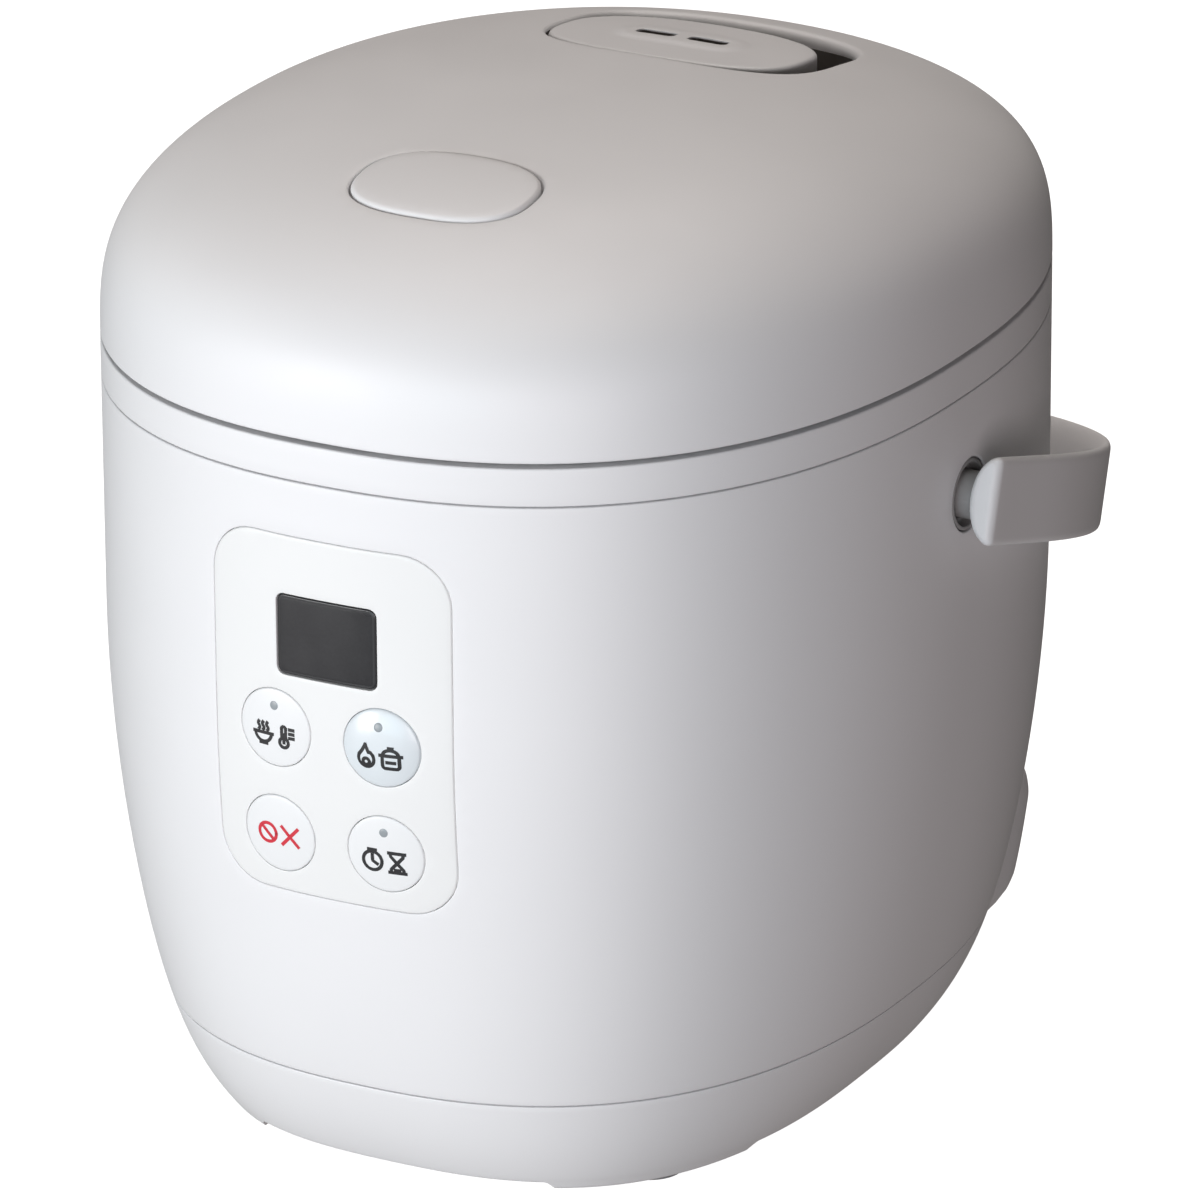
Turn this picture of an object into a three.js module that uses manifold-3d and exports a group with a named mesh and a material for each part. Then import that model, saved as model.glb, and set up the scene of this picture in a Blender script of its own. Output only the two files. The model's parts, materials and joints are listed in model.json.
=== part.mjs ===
// A small rice cooker with a domed hinged lid, a removable inner pot, a steam cap, four front
// buttons and a carrying bail. Millimetres, +Z up, front towards -Y, feet on Z = 0.

import * as THREE from 'three';
import { mergeVertices } from 'three/addons/utils/BufferGeometryUtils.js';
import Module from 'manifold-3d';

const wasm = await Module();
wasm.setup();

// ---------------------------------------------------------------- driving dimensions

const HALF_WIDTH = 87; // body at the lid seam, along X
const HALF_DEPTH = 105; // body at the lid seam, along Y
const SEAM_HEIGHT = 162; // lid seam above the surface it stands on
const DOME_HEIGHT = 41.7; // lid above the seam
const BAND_JOINT = 153.7; // joint between the body shell and the upper frame
const BASE_JOINT = 23.8; // joint between the base and the body shell
const TAPER_START = 107.1; // below this height the sides curve in
const PLAN_POWER = 2.31; // superellipse power of the plan
const FOOT_POWER = 0.39; // added to it at the foot
const CURVE_IN = 16.4; // the sides' gentle curve in, down to the foot
const CURVE_UNDER = 9; // and their tight one just above it
const DOME_FALL_X = [3.6, 0.38]; // powers of the dome's fall along X
const DOME_FALL_Y = [3.82, 0.532]; // and along Y
const DOME_ROUNDER = 0.6; // the plan's power drops by this at the dome's top
const BOSS_RADIUS = 4.2; // screw bosses of the body and the base
const PAD_RADIUS = 7;
const PAD_HEIGHT = 2.2;
const WALL = 2.5; // outer shells
const GAP = 0.3; // between pieces that touch
const AROUND = 32; // points in one plan ring

const POT_Y = 4; // the pot's axis
const POT_RADIUS = 64.5;
const POT_WALL = 1.6;
const POT_BOTTOM = 66;
const POT_RIM = 159.7;
const POT_FLANGE_RADIUS = 71.5;
const POT_FLANGE_THICKNESS = 1.2;
const POT_CORNER = 15; // outer radius between the pot's wall and its bottom
const DECK_TOP = 161.7; // top of the upper frame
const DECK_OPENING = 73.5; // radius of the frame's opening above the pot's ledge
const LEDGE_RADIUS = 67.5; // the pot's flange rests on this ledge
const CASE_RADIUS = 69; // heat shield round the pot
const CASE_FLOOR = 50;

const HINGE_Y = 96.5;
const HINGE_Z = 155.6;
const HINGE_BARREL = 5.8;
const HINGE_BORE = 1.9;
const HINGE_PIN = 1.6;
const NOTCH_HALF_WIDTH = 34.5; // the lid's rim turns down into this notch
const NOTCH_RADIUS = 11.6;
const LID_RIM = 162.6;
const LINER_BOTTOM = 163;
const LINER_TOP = 165.5;

const PANEL_WIDTH = 52.2;
const PANEL_HEIGHT = 75;
const PANEL_CENTRE_Z = 104.6;
const PANEL_CORNER = 10;
const PANEL_THICKNESS = 2.2;
const DISPLAY_WIDTH = 21.8;
const DISPLAY_HEIGHT = 16.4;
const DISPLAY_CENTRE_Z = 121.8;
const BUTTON_RADIUS = 8;
const BUTTON_X = 11.8;
const BUTTON_ROW_HIGH = 101.8;
const BUTTON_ROW_LOW = 79.2;
const LED_RISE = 4.7; // light window above its button's centre
const LED_RADIUS = 0.95;
const LED_GAP = 0.25;
const BUTTON_GAP = 0.35;
const BOARD_Y = -90; // front face of the control board
const STEM_END = BOARD_Y - 3.3; // a stem stops short of its switch by more than its travel

const LID_BUTTON_Y = -55.1;
const LID_BUTTON_HALF_WIDTH = 19;
const LID_BUTTON_HALF_DEPTH = 13.2;
const LID_BUTTON_GAP = 0.45;
const LID_BUTTON_POWER = 2.5;
const LATCH_Y = -88;
const LATCH_Z = 182.5;
const LATCH_PIN = 1.4;
const LATCH_BORE = 1.7;

const VENT_Y = 44;
const VENT_HALF_WIDTH = 27.6;
const VENT_HALF_DEPTH = 17.4;
const VENT_POWER = 2.8;
const VENT_DROP = 0.2; // the cap's top lies this far below the dome
const WELL_HALF_WIDTH = 30.6;
const WELL_HALF_DEPTH = 21.25;
const WELL_X = 2.4; // the well is wider at the right and the rear, where a finger lifts the cap
const WELL_Y = 47.25;
const WELL_POWER = 3.3;
const WELL_FLOOR = 189;
const DUCT_RADIUS = 5.6;
const SLOT_X = 5.9; // middle of a steam slot from the cap's middle
const SLOT_HALF_WIDTH = 4.3;
const SLOT_HALF_DEPTH = 1.7;

const PIVOT_Z = 132.3; // the bail's axis, along X
const PIVOT_HOLE = 7.6; // radius of the body's opening round the pivot
const BUSHING_RADIUS = 7.3;
const BUSHING_FLANGE = 10.5;
const BAIL_TILT = 17; // degrees below level when it hangs at the rear
const BAIL_INNER_WIDTH = 90; // half of the room between the arms
const BAIL_INNER_DEPTH = 115.4; // from the axis to the inside of the crossbar
const BAIL_STRAIGHT = 15; // the arms run straight this far behind the axis
const BAIL_END = 8; // and this far in front of it
const BAIL_INNER_POWER = 2.35;
const BAIL_OUTER_POWER = 2.2;
const ARM_THICKNESS = 6.2;
const CROSSBAR_THICKNESS = 4.8;
const BAIL_HEIGHT = 18.2;
const STUB_RADIUS = 4.9;
const STUB_INNER_END = 80;
const SCREW_BORE = 2.2;

const INLET_X = 39;
const INLET_Z = 24;
const INLET_DEPTH = 14; // how far the housing stands out of the body
const INLET_TUB_HALF_WIDTH = 13; // the tub that carries the socket into the body
const INLET_TUB_HALF_HEIGHT = 9;
const INLET_TUB_BACK = 82;

// ---------------------------------------------------------------- solids and joins

function solid(geometry) {
  const bare = geometry.clone();
  bare.deleteAttribute('normal');
  bare.deleteAttribute('uv');
  const merged = mergeVertices(bare, 1e-4);
  const corners = merged.index.array;
  const kept = [];
  for (let i = 0; i < corners.length; i += 3) {
    const [a, b, c] = [corners[i], corners[i + 1], corners[i + 2]];
    if (a !== b && b !== c && c !== a) kept.push(a, b, c);
  }
  const made = (triangles) => new wasm.Manifold(new wasm.Mesh({
    numProp: 3,
    vertProperties: merged.attributes.position.array,
    triVerts: new Uint32Array(triangles),
  }));
  const first = made(kept);
  return first.volume() > 0 ? first : made(kept.reverse());
}

function geometryOf(manifold) {
  const found = manifold.getMesh();
  const geometry = new THREE.BufferGeometry();
  geometry.setAttribute('position', new THREE.Float32BufferAttribute(found.vertProperties, 3));
  geometry.setIndex(Array.from(found.triVerts));
  geometry.computeVertexNormals();
  return geometry;
}

const join = (...solids) => solids.reduce((all, one) => all.add(one));
const cut = (from, ...tools) => tools.reduce((left, tool) => left.subtract(tool), from);

function box([xLow, xHigh], [yLow, yHigh], [zLow, zHigh]) {
  const geometry = new THREE.BoxGeometry(xHigh - xLow, yHigh - yLow, zHigh - zLow);
  geometry.translate((xLow + xHigh) / 2, (yLow + yHigh) / 2, (zLow + zHigh) / 2);
  return solid(geometry);
}

function cylinderZ(radius, [zLow, zHigh], x = 0, y = 0, sides = 16) {
  const geometry = new THREE.CylinderGeometry(radius, radius, zHigh - zLow, sides);
  geometry.rotateX(Math.PI / 2);
  geometry.translate(x, y, (zLow + zHigh) / 2);
  return solid(geometry);
}

function cylinderX(radius, [xLow, xHigh], y, z, sides = 16) {
  const geometry = new THREE.CylinderGeometry(radius, radius, xHigh - xLow, sides);
  geometry.rotateZ(Math.PI / 2);
  geometry.translate((xLow + xHigh) / 2, y, z);
  return solid(geometry);
}

function cylinderY(radius, [yLow, yHigh], x, z, sides = 20) {
  const geometry = new THREE.CylinderGeometry(radius, radius, yHigh - yLow, sides);
  geometry.translate(x, (yLow + yHigh) / 2, z);
  return solid(geometry);
}

// A solid of revolution about Z from [radius, height] points.
function turned(profile, x = 0, y = 0, sides = AROUND) {
  const points = profile.map(([radius, height]) => new THREE.Vector2(radius, height));
  const geometry = new THREE.LatheGeometry(points, sides);
  geometry.rotateX(Math.PI / 2);
  geometry.translate(x, y, 0);
  return solid(geometry);
}

// A closed profile of [radius, height] points turned about Z.
const ring = (profile, x = 0, y = 0, sides = AROUND) => turned([...profile, profile[0]], x, y, sides);

function extruded(shape, depth) {
  return new THREE.ExtrudeGeometry(shape, { depth, bevelEnabled: false, curveSegments: 3 });
}

// An outline in X and Y raised from one height to another.
function prismZ(shape, [zLow, zHigh]) {
  const geometry = extruded(shape, zHigh - zLow);
  geometry.translate(0, 0, zLow);
  return solid(geometry);
}

// An outline in X and Z carried along Y.
function prismY(shape, [yLow, yHigh]) {
  const geometry = extruded(shape, yHigh - yLow);
  geometry.rotateX(Math.PI / 2);
  geometry.translate(0, yHigh, 0);
  return solid(geometry);
}

// An outline in Y and Z carried along X.
function prismX(points, [xLow, xHigh]) {
  const shape = new THREE.Shape(points.map(([y, z]) => new THREE.Vector2(y, z)));
  const geometry = extruded(shape, xHigh - xLow);
  geometry.applyMatrix4(new THREE.Matrix4().makeBasis(
    new THREE.Vector3(0, 1, 0), new THREE.Vector3(0, 0, 1), new THREE.Vector3(1, 0, 0)));
  geometry.translate(xLow, 0, 0);
  return solid(geometry);
}

// Rings of equally many points, skinned and capped at both ends.
function loft(rings) {
  const count = rings[0].length;
  const corners = rings.flat();
  const triangles = [];
  for (let level = 0; level < rings.length - 1; level += 1) {
    for (let i = 0; i < count; i += 1) {
      const next = (i + 1) % count;
      const low = level * count;
      const high = low + count;
      triangles.push(low + i, low + next, high + next, low + i, high + next, high + i);
    }
  }
  const capFrom = (start, flip) => {
    const centre = corners.length;
    const middle = new THREE.Vector3();
    for (let i = 0; i < count; i += 1) middle.addScaledVector(corners[start + i], 1 / count);
    corners.push(middle);
    for (let i = 0; i < count; i += 1) {
      const next = (i + 1) % count;
      if (flip) triangles.push(centre, start + next, start + i);
      else triangles.push(centre, start + i, start + next);
    }
  };
  capFrom(0, true);
  capFrom((rings.length - 1) * count, false);
  const geometry = new THREE.BufferGeometry().setFromPoints(corners);
  geometry.setIndex(triangles);
  return solid(geometry);
}

// A superellipse ring at one height.
function planRing(halfWidth, halfDepth, power, z, y = 0, count = AROUND) {
  const points = [];
  for (let i = 0; i < count; i += 1) {
    const turn = (i / count) * 2 * Math.PI;
    const along = (value) => Math.sign(value) * Math.abs(value) ** (2 / power);
    points.push(new THREE.Vector3(
      halfWidth * along(Math.cos(turn)), y + halfDepth * along(Math.sin(turn)), z));
  }
  return points;
}

function ovalShape(halfWidth, halfDepth, power, y, count = 24) {
  const points = planRing(halfWidth, halfDepth, power, 0, y, count);
  return new THREE.Shape(points.map((p) => new THREE.Vector2(p.x, p.y)));
}

function roundedRectangle(width, height, corner, centreZ) {
  const [x, z] = [width / 2, height / 2];
  const shape = new THREE.Shape();
  shape.moveTo(-x + corner, centreZ - z);
  shape.lineTo(x - corner, centreZ - z);
  shape.absarc(x - corner, centreZ - z + corner, corner, -Math.PI / 2, 0);
  shape.lineTo(x, centreZ + z - corner);
  shape.absarc(x - corner, centreZ + z - corner, corner, 0, Math.PI / 2);
  shape.lineTo(-x + corner, centreZ + z);
  shape.absarc(-x + corner, centreZ + z - corner, corner, Math.PI / 2, Math.PI);
  shape.lineTo(-x, centreZ - z + corner);
  shape.absarc(-x + corner, centreZ - z + corner, corner, Math.PI, 1.5 * Math.PI);
  return shape;
}

class Helix extends THREE.Curve {
  constructor(radius, turns, length) {
    super();
    Object.assign(this, { radius, turns, length });
  }

  getPoint(t, target = new THREE.Vector3()) {
    const turn = t * this.turns * 2 * Math.PI;
    return target.set(
      this.radius * Math.cos(turn), this.radius * Math.sin(turn), t * this.length);
  }
}

// A wire coil standing on z = 0 and rising along Z.
function coil(radius, wire, turns, length) {
  const section = new THREE.Shape().absarc(0, 0, wire / 2, 0, 2 * Math.PI);
  const geometry = new THREE.ExtrudeGeometry(section, {
    steps: Math.round(turns * 9),
    curveSegments: 3,
    bevelEnabled: false,
    extrudePath: new Helix(radius, turns, length - wire),
  });
  geometry.translate(0, 0, wire / 2);
  return solid(geometry);
}

// ---------------------------------------------------------------- the body's outer form

// How far the sides have curved in at a height.
function inset(z) {
  const fall = Math.max(0, (TAPER_START - z) / TAPER_START);
  return CURVE_IN * fall ** 2 + CURVE_UNDER * fall ** 8;
}

function planPower(z) {
  const fall = Math.max(0, (TAPER_START - z) / TAPER_START);
  return PLAN_POWER + FOOT_POWER * fall ** 6;
}

// The body's form between two heights, drawn in by an offset.
function bodyForm(offset, [zLow, zHigh], levels = 5) {
  const rings = [];
  for (let i = 0; i <= levels; i += 1) {
    const z = zLow + (zHigh - zLow) * (1 - Math.cos((i / levels) * Math.PI / 2));
    const drawn = inset(z) + offset;
    rings.push(planRing(HALF_WIDTH - drawn, HALF_DEPTH - drawn, planPower(z), z));
  }
  return loft(rings);
}

// The lid's dome, drawn in by an offset and lowered by a drop, on a flat bottom.
function domeForm(offset, bottom = LID_RIM, drop = 0, levels = 6) {
  const rise = DOME_HEIGHT - offset;
  const rings = [];
  if (bottom < SEAM_HEIGHT - drop) {
    rings.push(planRing(HALF_WIDTH - offset, HALF_DEPTH - offset, PLAN_POWER, bottom));
  }
  for (let i = 0; i <= levels; i += 1) {
    const low = Math.max(0, (bottom + drop - SEAM_HEIGHT) / rise);
    const t = low + (0.996 - low) * Math.sin((i / levels) * Math.PI / 2);
    rings.push(planRing(
      (HALF_WIDTH - offset) * (1 - t ** DOME_FALL_X[0]) ** DOME_FALL_X[1],
      (HALF_DEPTH - offset) * (1 - t ** DOME_FALL_Y[0]) ** DOME_FALL_Y[1],
      PLAN_POWER - DOME_ROUNDER * t * t,
      SEAM_HEIGHT - drop + rise * t));
  }
  return loft(rings);
}

// ---------------------------------------------------------------- shells

const SCREW_POSTS = [[-40, -56], [40, -56], [-40, 56], [30, 60]];

function bodyShell() {
  const posts = SCREW_POSTS.map(([x, y]) => cylinderZ(BOSS_RADIUS, [BASE_JOINT + 0.6, 40], x, y, 16));
  const ribs = SCREW_POSTS.map(([x, y]) => {
    const wallSide = 2.6 * x;
    return box([Math.min(x, wallSide), Math.max(x, wallSide)], [y - 1.2, y + 1.2], [28, 38]);
  });
  const wall = cut(
    bodyForm(0, [BASE_JOINT + GAP, BAND_JOINT]), bodyForm(WALL, [BASE_JOINT - 1, BAND_JOINT + 1]));
  const inside = bodyForm(1, [BASE_JOINT + GAP, BAND_JOINT], 5);
  const bosses = join(...posts, ...ribs).intersect(inside);
  const bores = SCREW_POSTS.map(([x, y]) => cylinderZ(1.9, [BASE_JOINT, 37], x, y, 12));
  const panelHole = prismY(
    roundedRectangle(
      PANEL_WIDTH + 2 * GAP, PANEL_HEIGHT + 2 * GAP, PANEL_CORNER + GAP, PANEL_CENTRE_Z),
    [-120, -80]);
  const notch = box(
    [-NOTCH_HALF_WIDTH, NOTCH_HALF_WIDTH], [80, 120], [HINGE_Z - NOTCH_RADIUS - 0.6, 160]);
  const pivots = cylinderX(PIVOT_HOLE, [-100, 100], 0, PIVOT_Z);
  return cut(join(wall, bosses), ...bores, panelHole, notch, pivots, inletOpening());
}

// The hole in the body and the base that the inlet's tub passes through.
const inletOpening = () => box(
  [INLET_X - INLET_TUB_HALF_WIDTH - GAP, INLET_X + INLET_TUB_HALF_WIDTH + GAP], [72, 120],
  [INLET_Z - INLET_TUB_HALF_HEIGHT - GAP, INLET_Z + INLET_TUB_HALF_HEIGHT + GAP]);

function hingePocket() {
  const [inner, outer] = [NOTCH_RADIUS, NOTCH_RADIUS + 1.5];
  const arc = (radius, from, to) => {
    const points = [];
    for (let i = 0; i <= 8; i += 1) {
      const turn = THREE.MathUtils.degToRad(from + ((to - from) * i) / 8);
      points.push([HINGE_Y + radius * Math.cos(turn), HINGE_Z + radius * Math.sin(turn)]);
    }
    return points;
  };
  const trough = prismX(
    [...arc(outer, 145, 285), ...arc(inner, 285, 145)], [-NOTCH_HALF_WIDTH, NOTCH_HALF_WIDTH]);
  const end = [...arc(outer, 145, 285), [HINGE_Y + 3, DECK_TOP]];
  const ends = [-1, 1].map((side) => prismX(end, side < 0
    ? [-NOTCH_HALF_WIDTH - 1.5, -NOTCH_HALF_WIDTH] : [NOTCH_HALF_WIDTH, NOTCH_HALF_WIDTH + 1.5]));
  return join(trough, ...ends);
}

function upperFrame() {
  const [low, high] = [BAND_JOINT + GAP, DECK_TOP];
  const rim = cut(bodyForm(0, [low, high], 1), bodyForm(2.2, [low - 1, 159.5], 1));
  const lip = cut(bodyForm(WALL + GAP, [149, 160], 1), bodyForm(WALL + 1.8, [148, 161], 1));
  const collar = cylinderZ(DECK_OPENING + 2, [156.8, 160], 0, POT_Y, AROUND);
  const notch = box([-NOTCH_HALF_WIDTH, NOTCH_HALF_WIDTH], [HINGE_Y - NOTCH_RADIUS, 120], [140, 165]);
  const well = cylinderZ(DECK_OPENING, [158.2, 165], 0, POT_Y, AROUND);
  const potHole = cylinderZ(LEDGE_RADIUS, [150, 165], 0, POT_Y, AROUND);
  const latchSlot = box([-6.2, 6.2], [-100.4, -91.2], [157, 165]);
  const shaped = cut(join(rim, lip, collar), notch, well, potHole, latchSlot);
  const pocket = hingePocket().intersect(bodyForm(WALL + GAP, [140, DECK_TOP], 1));
  const barrel = (xLow, xHigh) => join(
    cylinderX(HINGE_BARREL, [xLow, xHigh], HINGE_Y, HINGE_Z),
    box([xLow, xHigh], [HINGE_Y - NOTCH_RADIUS - 0.5, HINGE_Y], [HINGE_Z - 4, HINGE_Z + 1]));
  const barrels = join(barrel(-8, 8), barrel(-26, -18), barrel(18, 26));
  const bore = cylinderX(HINGE_BORE, [-30, 30], HINGE_Y, HINGE_Z, 16);
  return cut(join(shaped, pocket, barrels), bore);
}

function base() {
  const outer = bodyForm(0, [0.6, BASE_JOINT], 5);
  const hollow = bodyForm(WALL, [5.5, BASE_JOINT + 1], 3);
  const lip = cut(
    join(bodyForm(WALL + GAP, [18, BASE_JOINT + 4], 1), bodyForm(WALL - GAP, [18, 21], 1)),
    bodyForm(WALL + 2, [17, BASE_JOINT + 5], 1));
  const bosses = SCREW_POSTS.map(([x, y]) => cylinderZ(BOSS_RADIUS, [4, BASE_JOINT], x, y, 16));
  const bores = SCREW_POSTS.map(([x, y]) => cylinderZ(2.3, [-1, BASE_JOINT + 1], x, y, 12));
  const sinks = SCREW_POSTS.map(([x, y]) => cylinderZ(4, [-1, 5.2], x, y, 16));
  const standoffs = BOARD_POSTS.map(([x, y]) => cylinderZ(3, [5, 13.7], x, y, 12));
  const pads = PAD_PLACES.map(([x, y]) => cylinderZ(PAD_RADIUS + GAP, [-1, PAD_HEIGHT + GAP], x, y));
  const sideways = box([-100, 100], [-41, 24], [-1, 2.6]);
  const lengthways = box([-33, 33], [-120, 120], [-1, 2.6]);
  const slots = [-1, 0, 1].map((i) => box([i * 8 - 1.5, i * 8 + 1.5], [-30, 30], [0, 6]));
  const skirt = cut(join(cut(outer, hollow), lip), inletOpening());
  return cut(
    join(skirt, ...bosses, ...standoffs), sideways, lengthways, ...bores, ...sinks, ...pads,
    ...slots);
}

const PAD_PLACES = [[-44, -54.9], [44, -54.9], [-44, 54.9], [44, 54.9]];
const BOARD_POSTS = [[-28, -34], [28, -34], [-28, 34], [28, 34]];

// ---------------------------------------------------------------- lid

const ventShape = (grow = 0) => ovalShape(
  VENT_HALF_WIDTH + grow, VENT_HALF_DEPTH + grow, VENT_POWER, VENT_Y);
const wellPrism = (grow, height) => prismZ(ovalShape(
  WELL_HALF_WIDTH + grow, WELL_HALF_DEPTH + grow, WELL_POWER, WELL_Y), height)
  .translate([WELL_X, 0, 0]);
const buttonShape = (grow = 0) => ovalShape(
  LID_BUTTON_HALF_WIDTH + grow, LID_BUTTON_HALF_DEPTH + grow, LID_BUTTON_POWER, LID_BUTTON_Y);

function lidShell() {
  const shell = cut(domeForm(0), domeForm(WALL, LID_RIM - 1));
  const wellWall = wellPrism(1.6, [WELL_FLOOR - 2, 210]).intersect(domeForm(0.5));
  const wellRoom = wellPrism(0, [WELL_FLOOR, 215]);
  const ductHole = cylinderZ(DUCT_RADIUS + 0.4, [180, 195], 0, VENT_Y);
  const buttonHole = prismZ(buttonShape(LID_BUTTON_GAP), [180, 215]);
  return cut(join(shell, wellWall), wellRoom, ductHole, buttonHole);
}

function lidLiner() {
  const plate = bodyForm(WALL + GAP, [LINER_BOTTOM, LINER_TOP], 1);
  const springPost = cylinderZ(6.5, [LINER_TOP - 1, 178], 0, LID_BUTTON_Y);
  const ears = [-1, 1].map((side) => prismX(
    [[LATCH_Y - 3, LINER_TOP - 1], [LATCH_Y + 8, LINER_TOP - 1], [LATCH_Y + 3, LATCH_Z + 3],
      [LATCH_Y - 3, LATCH_Z + 3]],
    side < 0 ? [-8, -5.7] : [5.7, 8]));
  const knuckles = [-1, 1].map((side) => {
    const span = side < 0 ? [-17.7, -8.3] : [8.3, 17.7];
    return join(
      cylinderX(HINGE_BARREL, span, HINGE_Y, HINGE_Z),
      box(span, [HINGE_Y - 3, HINGE_Y + 3], [HINGE_Z, LINER_TOP - 1]));
  });
  const latchHole = box([-6.2, 6.2], [-99.6, -92.4], [160, 168]);
  const ductHole = cylinderZ(DUCT_RADIUS + 0.5, [160, 168], 0, VENT_Y);
  const pinBore = cylinderX(LATCH_BORE, [-10, 10], LATCH_Y, LATCH_Z, 12);
  const hingeBore = cylinderX(HINGE_BORE, [-30, 30], HINGE_Y, HINGE_Z, 16);
  return cut(
    join(plate, springPost, ...ears, ...knuckles), latchHole, ductHole, pinBore, hingeBore);
}

function innerLid() {
  const disc = turned(
    [[0, 161.4], [58, 161.4], [60, 161], [63.8, 161], [63.8, 162.3], [0, 162.3]], 0, POT_Y);
  return cut(disc, cylinderZ(3.5, [158, 165], 0, VENT_Y, 16));
}

function lidGasket() {
  return ring(
    [[64.2, 160.6], [66, 160], [70.5, 160], [71.8, 161], [71.8, 162.6], [64.2, 162.6]], 0, POT_Y);
}

function steamDuct() {
  return ring(
    [[DUCT_RADIUS - 1.5, 162.7], [DUCT_RADIUS, 162.7], [DUCT_RADIUS, WELL_FLOOR],
      [DUCT_RADIUS - 1.5, WELL_FLOOR]], 0, VENT_Y, 24);
}

function steamSlot(side) {
  return ovalShape(SLOT_HALF_WIDTH, SLOT_HALF_DEPTH, 4, VENT_Y, 16).extractPoints(4).shape
    .map((p) => new THREE.Vector2(p.x + side * SLOT_X, p.y));
}

function steamCap() {
  const form = domeForm(0, 180, VENT_DROP);
  const plate = cut(
    prismZ(ventShape(), [180, 215]).intersect(form),
    prismZ(ventShape(-1.6), [180, 215]).intersect(domeForm(0, 180, VENT_DROP + 2.2)),
    prismZ(ventShape(5), [170, 191.5]));
  const slots = [-1, 1].map((side) => prismZ(new THREE.Shape(steamSlot(side)), [180, 215]));
  return cut(plate, ...slots);
}

function steamCapCup() {
  const cup = cut(
    prismZ(ventShape(-2), [191.9, 194.6]), prismZ(ventShape(-3.4), [193.2, 196]));
  return cut(cup, cylinderZ(4, [190, 195], 0, VENT_Y, 20));
}

function steamCapSeal() {
  return ring(
    [[6.6, WELL_FLOOR + GAP], [9.5, WELL_FLOOR + GAP], [9, 191.5], [7, 191.5]], 0, VENT_Y, 24);
}

function lidButton() {
  const cap = prismZ(buttonShape(), [190, 215]).intersect(domeForm(-0.3, LID_RIM, 0));
  const flange = prismZ(buttonShape(1.9), [189.6, 191.4]);
  const room = cut(
    prismZ(buttonShape(-1.8), [180, 196]), cylinderZ(7, [188, 198], 0, LID_BUTTON_Y));
  return cut(join(cap, flange), room);
}

function lidLatch() {
  const lever = prismX([
    [-96, 156.5], [-91.6, 156.5], [-91.6, 158.8], [-93.6, 158.8], [-93.6, 174], [-88, 178.6],
    [-61.8, 186.2], [-61.8, 189.2], [-66, 189.2], [-88, 186.2], [-92, 184], [-96, 176],
  ], [-5, 5]);
  return cut(lever, cylinderX(LATCH_BORE, [-6, 6], LATCH_Y, LATCH_Z, 12));
}

// ---------------------------------------------------------------- pot, heat and sensing

function innerPot() {
  const outside = [];
  const inside = [];
  for (let i = 0; i <= 4; i += 1) {
    const turn = (i / 4) * Math.PI / 2;
    const corner = (radius) => [
      POT_RADIUS - POT_CORNER + radius * Math.sin(turn),
      POT_BOTTOM + POT_CORNER - radius * Math.cos(turn)];
    outside.push(corner(POT_CORNER));
    inside.unshift(corner(POT_CORNER - POT_WALL));
  }
  return turned([
    [0, POT_BOTTOM], ...outside, [POT_RADIUS, POT_RIM - POT_FLANGE_THICKNESS],
    [POT_FLANGE_RADIUS, POT_RIM - POT_FLANGE_THICKNESS],
    [POT_FLANGE_RADIUS, POT_RIM], [POT_RADIUS - POT_WALL, POT_RIM], ...inside,
    [0, POT_BOTTOM + POT_WALL],
  ], 0, POT_Y);
}

function innerCase() {
  const inner = CASE_RADIUS - 1.2;
  return ring([
    [16, CASE_FLOOR], [CASE_RADIUS, CASE_FLOOR], [CASE_RADIUS, 155.3], [76, 155.3], [76, 156.5],
    [inner, 156.5], [inner, CASE_FLOOR + 1.2], [16, CASE_FLOOR + 1.2],
  ], 0, POT_Y);
}

function heaterPlate() {
  const plate = ring(
    [[12, 57.8], [50, 57.8], [52, 60], [52, POT_BOTTOM - GAP], [12, POT_BOTTOM - GAP]], 0, POT_Y);
  const legs = [0, 120, 240].map((degrees) => {
    const turn = THREE.MathUtils.degToRad(degrees + 90);
    return cylinderZ(
      3.5, [CASE_FLOOR + 1.5, 60], 45 * Math.cos(turn), POT_Y + 45 * Math.sin(turn), 12);
  });
  return join(plate, ...legs);
}

class ElementPath extends THREE.Curve {
  getPoint(t, target = new THREE.Vector3()) {
    const turn = THREE.MathUtils.degToRad(-70 + 320 * t);
    return target.set(34 * Math.cos(turn), 34 * Math.sin(turn), 0);
  }
}

function heaterElement() {
  const section = new THREE.Shape().absarc(0, 0, 2.6, 0, 2 * Math.PI);
  const geometry = new THREE.ExtrudeGeometry(section, {
    steps: 24, curveSegments: 4, bevelEnabled: false, extrudePath: new ElementPath() });
  geometry.translate(0, POT_Y, 54.8);
  return solid(geometry);
}

function sensorCap() {
  return turned(
    [[0, 63], [8.6, 63], [8.6, 59.4], [11, 59.4], [11, 60.6], [10, 60.6], [10, 64.9],
      [9.2, POT_BOTTOM - GAP], [0, POT_BOTTOM - GAP]], 0, POT_Y, 24);
}

function sensorTray() {
  return ring([[3, 46.4], [18.5, 46.4], [18.5, 49.7], [17, 49.7], [17, 47.8], [3, 47.8]], 0, POT_Y, 24);
}

function thermalFuse() {
  return cylinderX(2, [-9, 9], POT_Y - 20, 53.8, 10);
}

// ---------------------------------------------------------------- front panel and electronics

const LABELLED_BUTTONS = [
  { name: 'button_keep_warm', x: -BUTTON_X, z: BUTTON_ROW_HIGH, lit: true, dome: 0.5 },
  { name: 'button_cook', x: BUTTON_X, z: BUTTON_ROW_HIGH, lit: true, dome: 1.3 },
  { name: 'button_cancel', x: -BUTTON_X, z: BUTTON_ROW_LOW, lit: false, dome: 0.5 },
  { name: 'button_timer', x: BUTTON_X, z: BUTTON_ROW_LOW, lit: true, dome: 0.5 },
];

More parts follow.
